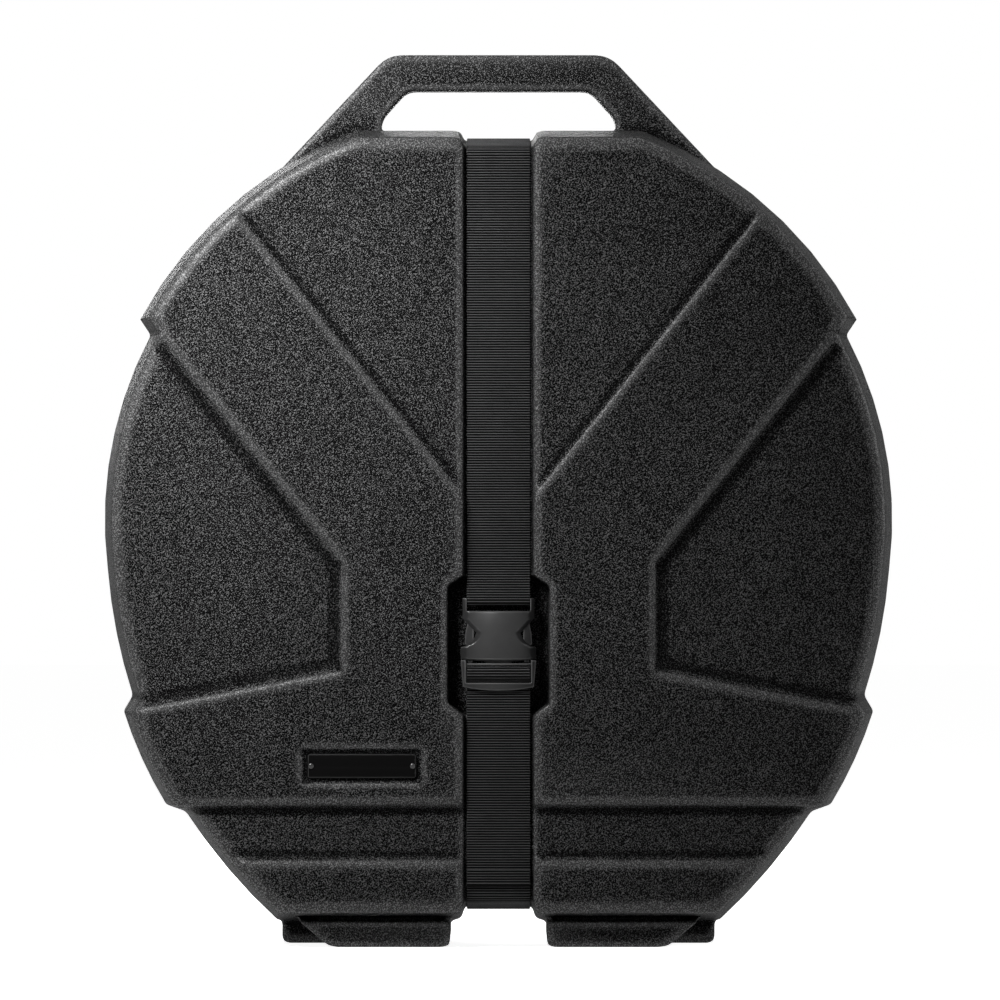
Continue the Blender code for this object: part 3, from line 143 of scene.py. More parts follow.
class StrapSettings(bpy.types.PropertyGroup):
    rib_pitch: size("Rib pitch", "From one rib of the webbing to the next", 0.002046)
    rib_height: size("Rib height", "Height of the ribs", 0.0005)
    rows: count("Rows a rib", "Rows of faces along each rib", 6)
    # The ribs' colour, lighter as a painted sheen, and the colour between them, a painted shade
    colour: tone("Colour", "Colour of the webbing's ribs", (0.12, 0.12, 0.122))
    groove_shade: tone("Groove", "Colour between the ribs", (0.001, 0.001, 0.001))
    thread: tone("Thread", "Colour of the stitches", (0.012, 0.012, 0.0125))
    roughness: amount("Roughness", "Roughness of the webbing", 0.62)
    stitch_pitch: size("Stitch pitch", "From one stitch to the next", 0.0024)
    stitch_length: size("Stitch length", "Length of one stitch", 0.0019)
    stitch_radius: size("Thread radius", "Radius of the thread", 0.0003)
    stitch_inset: size("Stitch inset", "From the webbing's edges to the ends of a seam", 0.003)
    bend: size("Bend", "Radius of the strap's bends round the case", 0.0092)
    level: size("Level run", "Level part on each side of the parting line", 0.016)
    floor_slope: amount("Channel slope", "Fall of the strap's channel for each unit of depth", 0.13)
    bar_drop: size("Sewn bar", "From the socket's top down to its sewn-in bar", 0.0021)
    bar_turn: size("Sewn turn", "Radius of the strap's turn round the sewn-in bar", 0.00305)
    lean: size("Lean", "From that bar up to where the strap lies in its channel", 0.022)
    fold_gap: size("Fold gap", "Between the strap and its folded end", 0.0004)
    fold_start: size("Fold start", "From that bar up to where the folded end lies flat", 0.006)
    fold_end: size("Fold end", "From the foot of the upper run up to its folded end", 0.0204)
    fold_seam: size("Fold seam", "From that bar up to the fold's stitches", 0.0159)
    fold_lift: size("Fold seam lift", "How far those stitches stand proud of the channel", 0.0006)
    split: size("Split", "From the tail's end up to the end of the lower run", 0.006)
    plug_bar_out: size("Plug bar out", "From the strap's face out to the plug's middle bar", 0.00215)
    plug_bar_drop: size("Plug bar drop", "From the turn's top down to that bar", 0.00415)
    plug_turn: size("Plug turn", "Radius of the turn round that bar", 0.00315)
    slope_start: size("Slope start", "From that bar down to where the turn slopes back", 0.004)
    slope_end: size("Slope end", "From that bar down to the slope's end", 0.0085)
    slope_bend: size("Slope bend", "Radius of the bends at the slope's ends", 0.004)
    hem_turn: size("Hem turn", "Radius of the turn at the tail's end", 0.0011)
    hem_rise: size("Hem rise", "From the tail's end up to the middle of that turn", 0.0021)
    hem_end: size("Hem end", "From the tail's end up to the end of the hem", 0.0125)
    hem_seam: size("Hem seam", "From the tail's end up to the hem's stitches", 0.0102)
    hem_sink: size("Hem seam sink", "How deep those stitches lie in the tail", 0.0001)


class BuckleSettings(bpy.types.PropertyGroup):
    grain: size("Surface step", "Spacing of the points that the buckle is made from", 0.00045)
    softening: count("Softening", "Passes that round its edges", 3)
    faces: count("Triangles", "Most triangles of each piece", 60000, high=200000)
    edge_reach: size("Edge height", "How far an edge stands proud to count as a full edge", 0.00017)
    edge_passes: count("Edge width", "Passes that spread what surrounds each point", 7)
    burnish: amount("Burnished edges", "How glossy handling has made the edges", 1.0)
    crown: size("Crown", "How much lower the socket's edges lie than its middle", 0.0014)
    crown_width: size("Crown width", "Width of the slope towards the socket's edges", 0.0055)
    bulge: size("Bulge", "How much lower the socket's sides lie than its middle", 0.0008)
    colour: tone("Colour", "Colour of the buckle's plastic", (0.021, 0.021, 0.0212))
    roughness: amount("Roughness", "Roughness of the buckle's plastic", 0.44)
    dome: amount("Dome", "How far its faces shade as if they curved, for each metre", 16, high=50)


class BadgeSettings(bpy.types.PropertyGroup):
    colour: tone("Colour", "Colour of the bare plate", (0.002, 0.002, 0.002))
    border: tone("Border", "Colour of the line round the plate", (0.05, 0.05, 0.05))
    border_inset: size("Border inset", "From the plate's edge to the line", 0.0009)
    border_width: size("Border width", "Width of the line", 0.00045)
    edge: size("Edge radius", "Radius of the plate's edges", 0.0004)
    roughness: amount("Roughness", "Roughness of the plate", 0.3)
    screw: tone("Screw", "Colour of the screws", (0.05, 0.05, 0.05))


class FoamSettings(bpy.types.PropertyGroup):
    foam_edge: size("Foam edge radius", "Radius of the foam's edges", 0.0022)
    felt_edge: size("Felt edge radius", "Radius of the felts' edges", 0.0012)
    foam: tone("Foam", "Colour of the foam", (0.03, 0.03, 0.032))
    felt: tone("Felt", "Colour of the felt washers", (0.13, 0.13, 0.135))


class PostSettings(bpy.types.PropertyGroup):
    pitch: size("Thread pitch", "From one turn of the thread to the next", 0.00125)
    depth: size("Thread depth", "Depth of the thread", 0.0006)
    edge: size("Edge radius", "Radius of the moulded edges", 0.0008)
    washer_edge: size("Washer edge radius", "Radius of the washer's edges", 0.0003)
    steel: tone("Steel", "Colour of the zinc plated steel", (0.56, 0.56, 0.58))
    plastic: tone("Plastic", "Colour of the flange, sleeve and knob", (0.02, 0.02, 0.02))


# In the order of the operators
GROUPS = {
    "case_studio": StudioSettings,
    "case_shells": ShellSettings,
    "case_strap": StrapSettings,
    "case_buckle": BuckleSettings,
    "case_badge": BadgeSettings,
    "case_foam": FoamSettings,
    "case_post": PostSettings,
}


# Node trees
class Wire:
    """An output of a node tree. Python's operators on it add Math nodes."""

    def __init__(self, graph, socket):
        self.graph = graph
        self.socket = socket

    def maths(self, operation, *values):
        return self.graph.node("ShaderNodeMath", {"operation": operation}, dict(enumerate(values)))

    def __add__(self, other):
        return self.maths("ADD", self, other)

    def __radd__(self, other):
        return self.maths("ADD", other, self)

    def __sub__(self, other):
        return self.maths("SUBTRACT", self, other)

    def __rsub__(self, other):
        return self.maths("SUBTRACT", other, self)

    def __mul__(self, other):
        return self.maths("MULTIPLY", self, other)

    def __rmul__(self, other):
        return self.maths("MULTIPLY", other, self)

    def __truediv__(self, other):
        return self.maths("DIVIDE", self, other)

    def __abs__(self):
        return self.maths("ABSOLUTE", self)

    def wave(self):
        return self.maths("SINE", self)

    def ramp(self, low, high):
        """From 0 at low to 1 at high, smooth."""
        settings = {"interpolation_type": "SMOOTHSTEP"}
        return self.graph.node("ShaderNodeMapRange", settings, {"Value": self, 1: low, 2: high})


class Graph:
    """A node tree that nodes are added to."""

    def __init__(self, tree):
        self.tree = tree

    def node(self, kind, settings=None, values=None, output=0):
        """Adds a node with its settings and the values or links of its sockets, and gives an output."""
        node = self.tree.nodes.new(kind)
        for name, value in (settings or {}).items():
            setattr(node, name, value)
        for name, value in (values or {}).items():
            self.plug(node.inputs[name], value)
        return Wire(self, node.outputs[output])

    def plug(self, socket, value):
        if isinstance(value, Wire):
            self.tree.links.new(value.socket, socket)
        elif socket.type == "RGBA":
            socket.default_value = (*value, 1) if len(value) == 3 else value
        else:
            socket.default_value = value


class Finish(Graph):
    """A procedural material on Object coordinates."""

    def __init__(self, name, colour, roughness, metallic=0.0, specular=0.5):
        self.material = bpy.data.materials.new(name)
        self.material.use_nodes = True
        super().__init__(self.material.node_tree)
        self.shader = self.tree.nodes["Principled BSDF"]
        self.set("Base Color", colour)
        self.set("Roughness", roughness)
        self.set("Metallic", metallic)
        self.set("Specular IOR Level", specular)

    def set(self, socket, value):
        self.plug(self.shader.inputs[socket], value)

    def place(self):
        return self.node("ShaderNodeTexCoord", output="Object")

    def turned(self):
        """The place turned off every axis, so that no flat face lies along the lattice of a noise."""
        values = {"Vector": self.place(), "Rotation": (0.61, 0.47, 0.35)}
        return self.node("ShaderNodeMapping", values=values)

    def along(self, axis):
        return self.node("ShaderNodeSeparateXYZ", values={0: self.place()}, output=axis)

    def speckle(self, width, detail=2.0, rough=0.5):
        values = {"Vector": self.turned(), "Scale": 1 / width, "Detail": detail, "Roughness": rough}
        return self.node("ShaderNodeTexNoise", values=values)

    def cells(self, width):
        values = {"Vector": self.turned(), "Scale": 1 / width}
        return self.node("ShaderNodeTexVoronoi", values=values, output="Distance")

    def mark(self, name):
        """A value that the piece's own points carry."""
        settings = {"attribute_type": "GEOMETRY", "attribute_name": name}
        return self.node("ShaderNodeAttribute", settings, output="Fac")

    def mixed(self, share, first, second):
        """A mix of two colours, which the Mix node takes in its sockets 6 and 7 and gives out in 2."""
        settings = {"data_type": "RGBA"}
        return self.node("ShaderNodeMix", settings, {0: share, 6: first, 7: second}, output=2)

    def bump(self, height, depth):
        self.set("Normal", self.node("ShaderNodeBump", values={"Height": height, "Distance": depth}))


def geometry_graph(name, inputs):
    """A geometry tree with named inputs, and the wires that carry them."""
    tree = bpy.data.node_groups.new(name, "GeometryNodeTree")
    tree.interface.new_socket("Geometry", in_out="OUTPUT", socket_type="NodeSocketGeometry")
    kinds = {"Geometry": "Geometry", **inputs}
    for label, kind in kinds.items():
        tree.interface.new_socket(label, in_out="INPUT", socket_type=f"NodeSocket{kind}")
    graph = Graph(tree)
    entry = tree.nodes.new("NodeGroupInput")
    return graph, {label: Wire(graph, entry.outputs[label]) for label in kinds}


def finish_geometry(graph, result, material):
    """Ends a tree with real geometry in its material."""
    real = graph.node("GeometryNodeRealizeInstances", values={0: result})
    dressed = graph.node("GeometryNodeSetMaterial", values={"Geometry": real, "Material": material})
    exit_node = graph.tree.nodes.new("NodeGroupOutput")
    graph.plug(exit_node.inputs[0], dressed)
    return graph.tree


def resampled(graph, run, step):
    """A run of edges as a curve with a point at each step."""
    curve = graph.node("GeometryNodeMeshToCurve", values={"Mesh": run})
    values = {"Curve": curve, "Length": step}
    return graph.node("GeometryNodeResampleCurve", {"mode": "LENGTH"}, values)


def stored(graph, geometry, name, value):
    """Geometry whose points carry a named value."""
    settings = {"data_type": "FLOAT", "domain": "POINT"}
    values = {"Geometry": geometry, "Name": name, "Value": value}
    return graph.node("GeometryNodeStoreNamedAttribute", settings, values)


# Meshes
def new_object(name, data):
    obj = bpy.data.objects.new(name, data)
    bpy.context.scene.collection.objects.link(obj)
    return obj


def settle(obj):
    """Replaces an object's mesh by what its modifiers make of it."""
    graph = bpy.context.evaluated_depsgraph_get()
    mesh = bpy.data.meshes.new_from_object(obj.evaluated_get(graph), depsgraph=graph)
    obj.modifiers.clear()
    old = obj.data
    obj.data = mesh
    bpy.data.meshes.remove(old)
    mesh.name = obj.name
    return obj


def worked(obj, tree, inputs):
    """Puts an object through a geometry tree."""
    modifier = obj.modifiers.new(tree.name, "NODES")
    modifier.node_group = tree
    for item in tree.interface.items_tree:
        if item.in_out == "INPUT" and item.name in inputs:
            modifier[item.identifier] = inputs[item.name]
    return settle(obj)


def grow(name, tree, mesh, inputs):
    """A piece that a geometry tree makes from a mesh."""
    return worked(new_object(name, mesh), tree, inputs)


def plain_mesh(points, edges=(), faces=()):
    mesh = bpy.data.meshes.new("plain")
    mesh.from_pydata(points, edges, faces)
    return mesh


def line_mesh(points):
    """A run of points (x, y, z) joined by edges."""
    return plain_mesh(points, [(index, index + 1) for index in range(len(points) - 1)])


def turned_out(name, bm, sharp):
    """An object from a bmesh, smooth except over edges sharper than an angle in degrees."""
    bmesh.ops.recalc_face_normals(bm, faces=bm.faces)
    mesh = bpy.data.meshes.new(name)
    bm.to_mesh(mesh)
    bm.free()
    mesh.shade_smooth()
    mesh.set_sharp_from_angle(angle=math.radians(sharp))
    return new_object(name, mesh)


def welded(node, name):
    """A copy of a CAD node's mesh with its triangles joined up."""
    bm = bmesh.new()
    bm.from_mesh(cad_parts[node].data)
    bmesh.ops.remove_doubles(bm, verts=bm.verts, dist=WELD)
    mesh = bpy.data.meshes.new(name)
    bm.to_mesh(mesh)
    bm.free()
    return new_object(name, mesh)


def moulded(node, settings, marks, shape=None):
    """A CAD node's shape with its edges rounded, as a mould leaves them, and marked on its points."""
    obj = welded(node, f"{node}_moulding")
    remesh = obj.modifiers.new("Remesh", "REMESH")
    remesh.mode = "VOXEL"
    remesh.voxel_size = settings.grain
    settle(obj)
    if shape:
        shape(obj.data)
    smooth = obj.modifiers.new("Smooth", "SMOOTH")
    smooth.factor = 0.5
    smooth.iterations = settings.softening
    settle(obj)
    worked(obj, *marks)
    triangles = sum(len(face.vertices) - 2 for face in obj.data.polygons)
    if triangles > settings.faces:
        thin = obj.modifiers.new("Decimate", "DECIMATE")
        thin.ratio = settings.faces / triangles
        settle(obj)
    obj.data.shade_smooth()
    return obj


def softened(node, name, radius, segments=3, rounded=35, sharp=50):
    """A CAD node's shape with its edges rounded, and what is left over drawn sharp. Angles in degrees."""
    obj = welded(node, name)
    bm = bmesh.new()
    bm.from_mesh(obj.data)
    bmesh.ops.dissolve_limit(
        bm, angle_limit=math.radians(1), verts=bm.verts, edges=bm.edges, delimit={"NORMAL"}
    )
    bm.to_mesh(obj.data)
    bm.free()
    bevel = obj.modifiers.new("Bevel", "BEVEL")
    bevel.width = radius
    bevel.segments = segments
    bevel.limit_method = "ANGLE"
    bevel.angle_limit = math.radians(rounded)
    settle(obj)
    obj.data.shade_smooth()
    obj.data.set_sharp_from_angle(angle=math.radians(sharp))
    return obj


def dress(obj, finish, body, slot, *nodes):
    """Gives a piece its material and its body, and hides the CAD nodes that it stands for."""
    obj.data.materials.clear()
    obj.data.materials.append(finish.material)
    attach(obj, body)
    if nodes:
        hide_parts(*nodes)
    return obj


def filleted(points, radius, steps=8):
    """A run of (y, z) points with its corners rounded."""
    run = [points[0]]
    for before, at, after in zip(points, points[1:], points[2:]):
        before, at, after = Vector(before), Vector(at), Vector(after)
        into, out = (at - before).normalized(), (after - at).normalized()
        turn = into.angle(out)
        reach = min(radius * math.tan(turn / 2), (at - before).length / 2, (after - at).length / 2)
        start, end = at - into * reach, at + out * reach
        for step in range(steps + 1):
            part = step / steps
            run.append(tuple(start.lerp(at, part).lerp(at.lerp(end, part), part)))
    return run + [points[-1]]


def arc(centre, radius, first, last, steps=12):
    """Points (y, z) on a circle, between two angles in degrees."""
    angles = [math.radians(first + (last - first) * step / steps) for step in range(steps + 1)]
    return [(centre[0] + radius * math.cos(a), centre[1] + radius * math.sin(a)) for a in angles]


# Finishes
def shell_finish(settings):
    """Pebbled black polyethylene: paler grain tops, partly grain and partly painted highlight, glossy
    edges paler as painted highlight, creases darker as painted shade.
    """
    finish = Finish("pebbled_shell", settings.colour, settings.roughness, specular=settings.gloss)
    # Grain tops paler: partly the grain, partly a painted highlight of the pebbles
    tops = finish.speckle(settings.pebble, 1.0, 0.5).ramp(0.47, 0.64)
    grit = finish.speckle(settings.pebble / 2, 2.0, 0.6)
    clouds = finish.speckle(0.05, 3.0, 0.6)
    edge = finish.mark("edge")
    # Edges paler in colour, a painted highlight, and glossier with coat; walls facing sideways left out
    burnish_and_painted_highlight = edge.ramp(0.08, 0.6) * (1 - finish.mark("flank").ramp(0.4, 0.75))
    # Creases darker: painted shade
    crease = (0 - edge).ramp(0.05, 0.5)
    pale = tops * (0.7 + clouds * 0.4) + burnish_and_painted_highlight * 0.12 - crease * 0.5
    finish.set("Base Color", finish.mixed(pale, settings.colour, settings.pale_grain_and_highlight))
    finish.set("Roughness", settings.roughness + (clouds - 0.5) * 0.12 - burnish_and_painted_highlight * 0.1)
    finish.set("Coat Weight", burnish_and_painted_highlight * (0.4 + tops * 0.6) * settings.burnish)
    finish.set("Coat Roughness", 0.42)
    finish.set("Coat IOR", 1.42)
    finish.bump(tops + grit * 0.5, settings.pebble_depth)
    return finish


def webbing_finish(settings):
    """Ribbed black webbing: fine threads run along it and break up each rib; rib crowns paler as painted
    sheen, grooves darker as painted shade.
    """
    finish = Finish("black_webbing", settings.colour, settings.roughness, specular=0.05)
    across = finish.along("X")
    threads = (across * (2 * math.pi / 0.00085)).wave()
    fuzz = finish.speckle(0.0006, 2.0, 0.6)
    clouds = finish.speckle(0.018, 2.0, 0.5)
    # Crowns take the lighter colour, a painted sheen, and grooves the darker, a painted shade
    crown = finish.mark("rib").ramp(0.15, 1.0)
    shade = crown * (0.55 + clouds * 0.4 + (fuzz - 0.5) * 0.5 + threads * 0.12)
    finish.set("Base Color", finish.mixed(shade, settings.groove_shade, settings.colour))
    finish.bump(threads * 0.5 + fuzz, 0.00016)
    return finish


def moulded_finish(name, colour, roughness, grain=0.0004, depth=0.00003, burnish=0.0, dome=0.0):
    """Smooth moulded plastic with a faint spark-eroded grain, edges that handling has made glossy and
    paler as painted highlight, and creases darker as painted shade.
    """
    finish = Finish(name, colour, roughness, specular=0.3)
    fine = finish.speckle(grain, 2.0, 0.6)
    clouds = finish.speckle(0.012, 3.0, 0.6)
    edge = finish.mark("edge")
    # Edges paler in colour, a painted highlight, and glossier with coat
    burnish_and_painted_highlight = edge.ramp(0.1, 1.0)
    # Creases darker: painted shade
    crease = (0 - edge).ramp(0.1, 1.0)
    bright = tuple(min(part * 3, 1) for part in colour)
    pale = 0.1 + clouds.ramp(0.35, 0.8) * 0.15 + burnish_and_painted_highlight * 0.8 - crease * 0.2
    finish.set("Base Color", finish.mixed(pale, colour, bright))
    finish.set("Roughness", roughness + (clouds - 0.5) * 0.15)
    finish.set("Coat Weight", burnish_and_painted_highlight * burnish)
    finish.set("Coat Roughness", 0.25)
    finish.set("Coat IOR", 1.38)
    across, up = finish.along("X"), finish.along("Z") - (SOCKET_LOW.z + SOCKET_HIGH.z) / 2
    fall = (across * across + up * up * 0.4) * dome
    finish.bump(fine * depth - fall, 1.0)
    return finish


def soft_finish(name, colour, cell, depth):
    """Foam or felt: open cells or fibres, and no gloss."""
    finish = Finish(name, colour, 0.95, specular=0.15)
    cells = finish.cells(cell)
    fibres = finish.speckle(cell * 0.7, 4.0, 0.7)
    dark = tuple(part * 0.5 for part in colour)
    finish.set("Base Color", finish.mixed((cells * fibres).ramp(0.0, 0.45), dark, colour))
    finish.bump(cells + fibres, depth)
    return finish


def steel_finish(name, colour, roughness):
    """Plated steel with a faint brushed cloudiness."""
    finish = Finish(name, colour, roughness, metallic=1.0)
    clouds = finish.speckle(0.004, 4.0, 0.6)
    brushed = finish.speckle(0.0003, 2.0, 0.5)
    finish.set("Roughness", roughness + (clouds - 0.5) * 0.2)
    finish.bump(brushed, 0.00001)
    return finish


def badge_finish(settings):
    """A bare dark plate with a fine pale line round it."""
    finish = Finish("bare_plate", settings.colour, settings.roughness, specular=0.04)
    middle = (PLATE_LOW + PLATE_HIGH) / 2
    half = (PLATE_HIGH - PLATE_LOW) / 2
    from_side = half.x - abs(finish.along("X") - middle.x)
    from_edge = half.z - abs(finish.along("Z") - middle.z)
    nearest = from_side.maths("MINIMUM", from_side, from_edge)
    soft = settings.border_width / 4
    inner = settings.border_inset + settings.border_width
    line = nearest.ramp(settings.border_inset - soft, settings.border_inset + soft)
    line = line * (1 - nearest.ramp(inner - soft, inner + soft))
    scuffs = finish.speckle(0.0025, 4.0, 0.7)
    finish.set("Base Color", finish.mixed(line, settings.colour, settings.border))
    finish.set("Roughness", settings.roughness + scuffs.ramp(0.5, 0.8) * 0.25)
    finish.bump(line + scuffs * 0.15, 0.00006)
    return finish


# Geometry trees
def webbing_tree():
    """Sweeps a ribbed band along a run of points that lies in the plane across the case."""
    graph, wires = geometry_graph("Ribbed webbing", {
        "Width": "Float", "Thickness": "Float", "Rib pitch": "Float", "Rib height": "Float",
        "Rows a rib": "Int", "Material": "Material",
    })
    fine = resampled(graph, wires["Geometry"], wires["Rib pitch"] / wires["Rows a rib"])
    flat = graph.node(
        "GeometryNodeSetCurveNormal", {"mode": "FREE"}, {"Curve": fine, "Normal": (1.0, 0.0, 0.0)}
    )
    capture = graph.tree.nodes.new("GeometryNodeCaptureAttribute")
    capture.capture_items.new("FLOAT", "Length")
    graph.plug(capture.inputs[0], flat)
    graph.plug(capture.inputs[1], graph.node("GeometryNodeSplineParameter", output="Length"))
    section = graph.node(
        "GeometryNodeCurvePrimitiveQuadrilateral", {"mode": "RECTANGLE"},
        {"Width": wires["Width"], "Height": wires["Thickness"]},
    )
    rounded = graph.node(
        "GeometryNodeFilletCurve", {"mode": "POLY"},
        {"Curve": section, "Count": 3, "Radius": wires["Thickness"] * 0.4},
    )
    band = graph.node(
        "GeometryNodeCurveToMesh",
        values={"Curve": Wire(graph, capture.outputs[0]), "Profile Curve": rounded, "Fill Caps": True},
    )
    turns = Wire(graph, capture.outputs[1]) * (2 * math.pi) / wires["Rib pitch"]
    lift = turns.wave() * wires["Rib height"] / 2
    normal = graph.node("GeometryNodeInputNormal")
    offset = graph.node("ShaderNodeVectorMath", {"operation": "SCALE"}, {0: normal, "Scale": lift})
    ribbed = graph.node("GeometryNodeSetPosition", values={"Geometry": band, "Offset": offset})
    marked = stored(graph, ribbed, "rib", turns.wave())
    smooth = graph.node("GeometryNodeSetShadeSmooth", values={0: marked, "Shade Smooth": True})
    return finish_geometry(graph, smooth, wires["Material"])


def edge_tree():
    """Marks how proud of its surroundings each point of a skin stands, 1 on an edge and -1 in a crease,
    and how far it faces sideways."""
    inputs = {"Passes": "Int", "Reach": "Float", "Material": "Material"}
    graph, wires = geometry_graph("Edge marks", inputs)
    place = graph.node("GeometryNodeInputPosition")
    around = graph.node("GeometryNodeBlurAttribute", {"data_type": "FLOAT_VECTOR"}, {
        "Value": place, "Iterations": wires["Passes"], "Weight": 1.0,
    })
    apart = graph.node("ShaderNodeVectorMath", {"operation": "SUBTRACT"}, {0: place, 1: around})
    normal = graph.node("GeometryNodeInputNormal")
    proud = graph.node(
        "ShaderNodeVectorMath", {"operation": "DOT_PRODUCT"}, {0: apart, 1: normal}, "Value"
    )
    sideways = 1 - abs(graph.node("ShaderNodeSeparateXYZ", values={0: normal}, output=1))
    marked = stored(graph, wires["Geometry"], "edge", proud / wires["Reach"])
    marked = stored(graph, marked, "flank", sideways)
    return finish_geometry(graph, marked, wires["Material"])


def edge_marks(settings, finish):
    """The tree that marks a skin's edges, with its inputs."""
    tree = bpy.data.node_groups.get("Edge marks") or edge_tree()
    inputs = {"Passes": settings.edge_passes, "Reach": settings.edge_reach, "Material": finish.material}
    return tree, inputs


def stitch_tree():
    """Lays rounded stitches along a run of points."""
    inputs = {"Pitch": "Float", "Length": "Float", "Radius": "Float", "Material": "Material"}
    graph, wires = geometry_graph("Stitches", inputs)
    places = resampled(graph, wires["Geometry"], wires["Pitch"])
    bead = graph.node(
        "GeometryNodeMeshUVSphere", values={"Segments": 8, "Rings": 6, "Radius": wires["Radius"]}
    )
    stretch = graph.node(
        "ShaderNodeCombineXYZ", values={"X": wires["Length"] / wires["Radius"] / 2, "Y": 1.0, "Z": 1.0}
    )
    laid = graph.node(
        "GeometryNodeInstanceOnPoints", values={"Points": places, "Instance": bead, "Scale": stretch}
    )
    smooth = graph.node("GeometryNodeSetShadeSmooth", values={0: laid, "Shade Smooth": True})
    return finish_geometry(graph, smooth, wires["Material"])


def fastener_tree():
    """Puts a copy of one fastener at each point of a mesh."""
    graph, wires = geometry_graph("Fasteners", {"Fastener": "Object", "Material": "Material"})
    model = graph.node("GeometryNodeObjectInfo", values={"Object": wires["Fastener"]}, output="Geometry")
    laid = graph.node(
        "GeometryNodeInstanceOnPoints", values={"Points": wires["Geometry"], "Instance": model}
    )
    return finish_geometry(graph, laid, wires["Material"])


def thread_tree():
    """Winds a thread round a core that stands along Z from the origin, then lays it along Y."""
    graph, wires = geometry_graph("Threaded rod", {
        "Radius": "Float", "Length": "Float", "Pitch": "Float", "Depth": "Float",
        "Material": "Material",
    })

    def raised(geometry, height):
        up = graph.node("ShaderNodeCombineXYZ", values={"Z": height})
        return graph.node("GeometryNodeTransform", values={"Geometry": geometry, "Translation": up})

    middle = wires["Radius"] - wires["Depth"] / 2
    winding = graph.node("GeometryNodeCurveSpiral", values={
        "Resolution": 24, "Rotations": wires["Length"] / wires["Pitch"] - 2, "Start Radius": middle,
        "End Radius": middle, "Height": wires["Length"] - 2 * wires["Pitch"],
    })
    ridge = graph.node("GeometryNodeCurvePrimitiveCircle", {"mode": "RADIUS"}, {
        "Resolution": 4, "Radius": wires["Depth"] * 0.6,
    })
    wound = graph.node(
        "GeometryNodeCurveToMesh", values={"Curve": winding, "Profile Curve": ridge, "Fill Caps": True}
    )
    core = graph.node("GeometryNodeMeshCylinder", values={
        "Vertices": 32, "Radius": wires["Radius"] - wires["Depth"], "Depth": wires["Length"],
    })
    joined = graph.tree.nodes.new("GeometryNodeJoinGeometry")
    graph.plug(joined.inputs[0], raised(core, wires["Length"] / 2))
    graph.plug(joined.inputs[0], raised(wound, wires["Pitch"]))
    laid = graph.node("GeometryNodeTransform", values={
        "Geometry": Wire(graph, joined.outputs[0]), "Rotation": (math.radians(90), 0.0, 0.0),
    })
    return finish_geometry(graph, laid, wires["Material"])


# Pieces
def webbing(name, points, settings, finish):
    """A band of webbing whose middle follows a run of (y, z) points."""
    inputs = {
        "Width": 2 * STRAP_HALF, "Thickness": WEB_THICK - settings.rib_height,
        "Rib pitch": settings.rib_pitch, "Rib height": settings.rib_height,
        "Rows a rib": settings.rows, "Material": finish.material,
    }
    path = line_mesh([(0.0, y, z) for y, z in points])
    return grow(name, bpy.data.node_groups["Ribbed webbing"], path, inputs)


def stitches(name, height, depth, settings, finish, body):
    """A seam straight across the webbing."""
    half = STRAP_HALF - settings.stitch_inset
    run = line_mesh([(-half, depth, height), (half, depth, height)])
    inputs = {
        "Pitch": settings.stitch_pitch, "Length": settings.stitch_length,
        "Radius": settings.stitch_radius, "Material": finish.material,
    }
    piece = grow(name, bpy.data.node_groups["Stitches"], run, inputs)
    return dress(piece, finish, body, "black_webbing")


def strap_depths():
    """Depths and heights of the webbing's middle in its channel: front, back, top, base."""
    half = WEB_THICK / 2
    return -STRAP_HIGH.y + half, STRAP_HIGH.y - half, STRAP_HIGH.z - half, STRAP_LOW.z + half


def fastened(name, nodes, model, finish):
    """A copy of one fastener on the front of each of some CAD nodes, instead of the model."""
    places = []
    for node in nodes:
        low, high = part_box(node)
        places.append(((low.x + high.x) / 2, low.y, (low.z + high.z) / 2))
    tree = bpy.data.node_groups.get("Fasteners") or fastener_tree()
    inputs = {"Fastener": model, "Material": finish.material}
    copies = grow(name, tree, plain_mesh(places), inputs)
    bpy.data.objects.remove(model)
    return copies


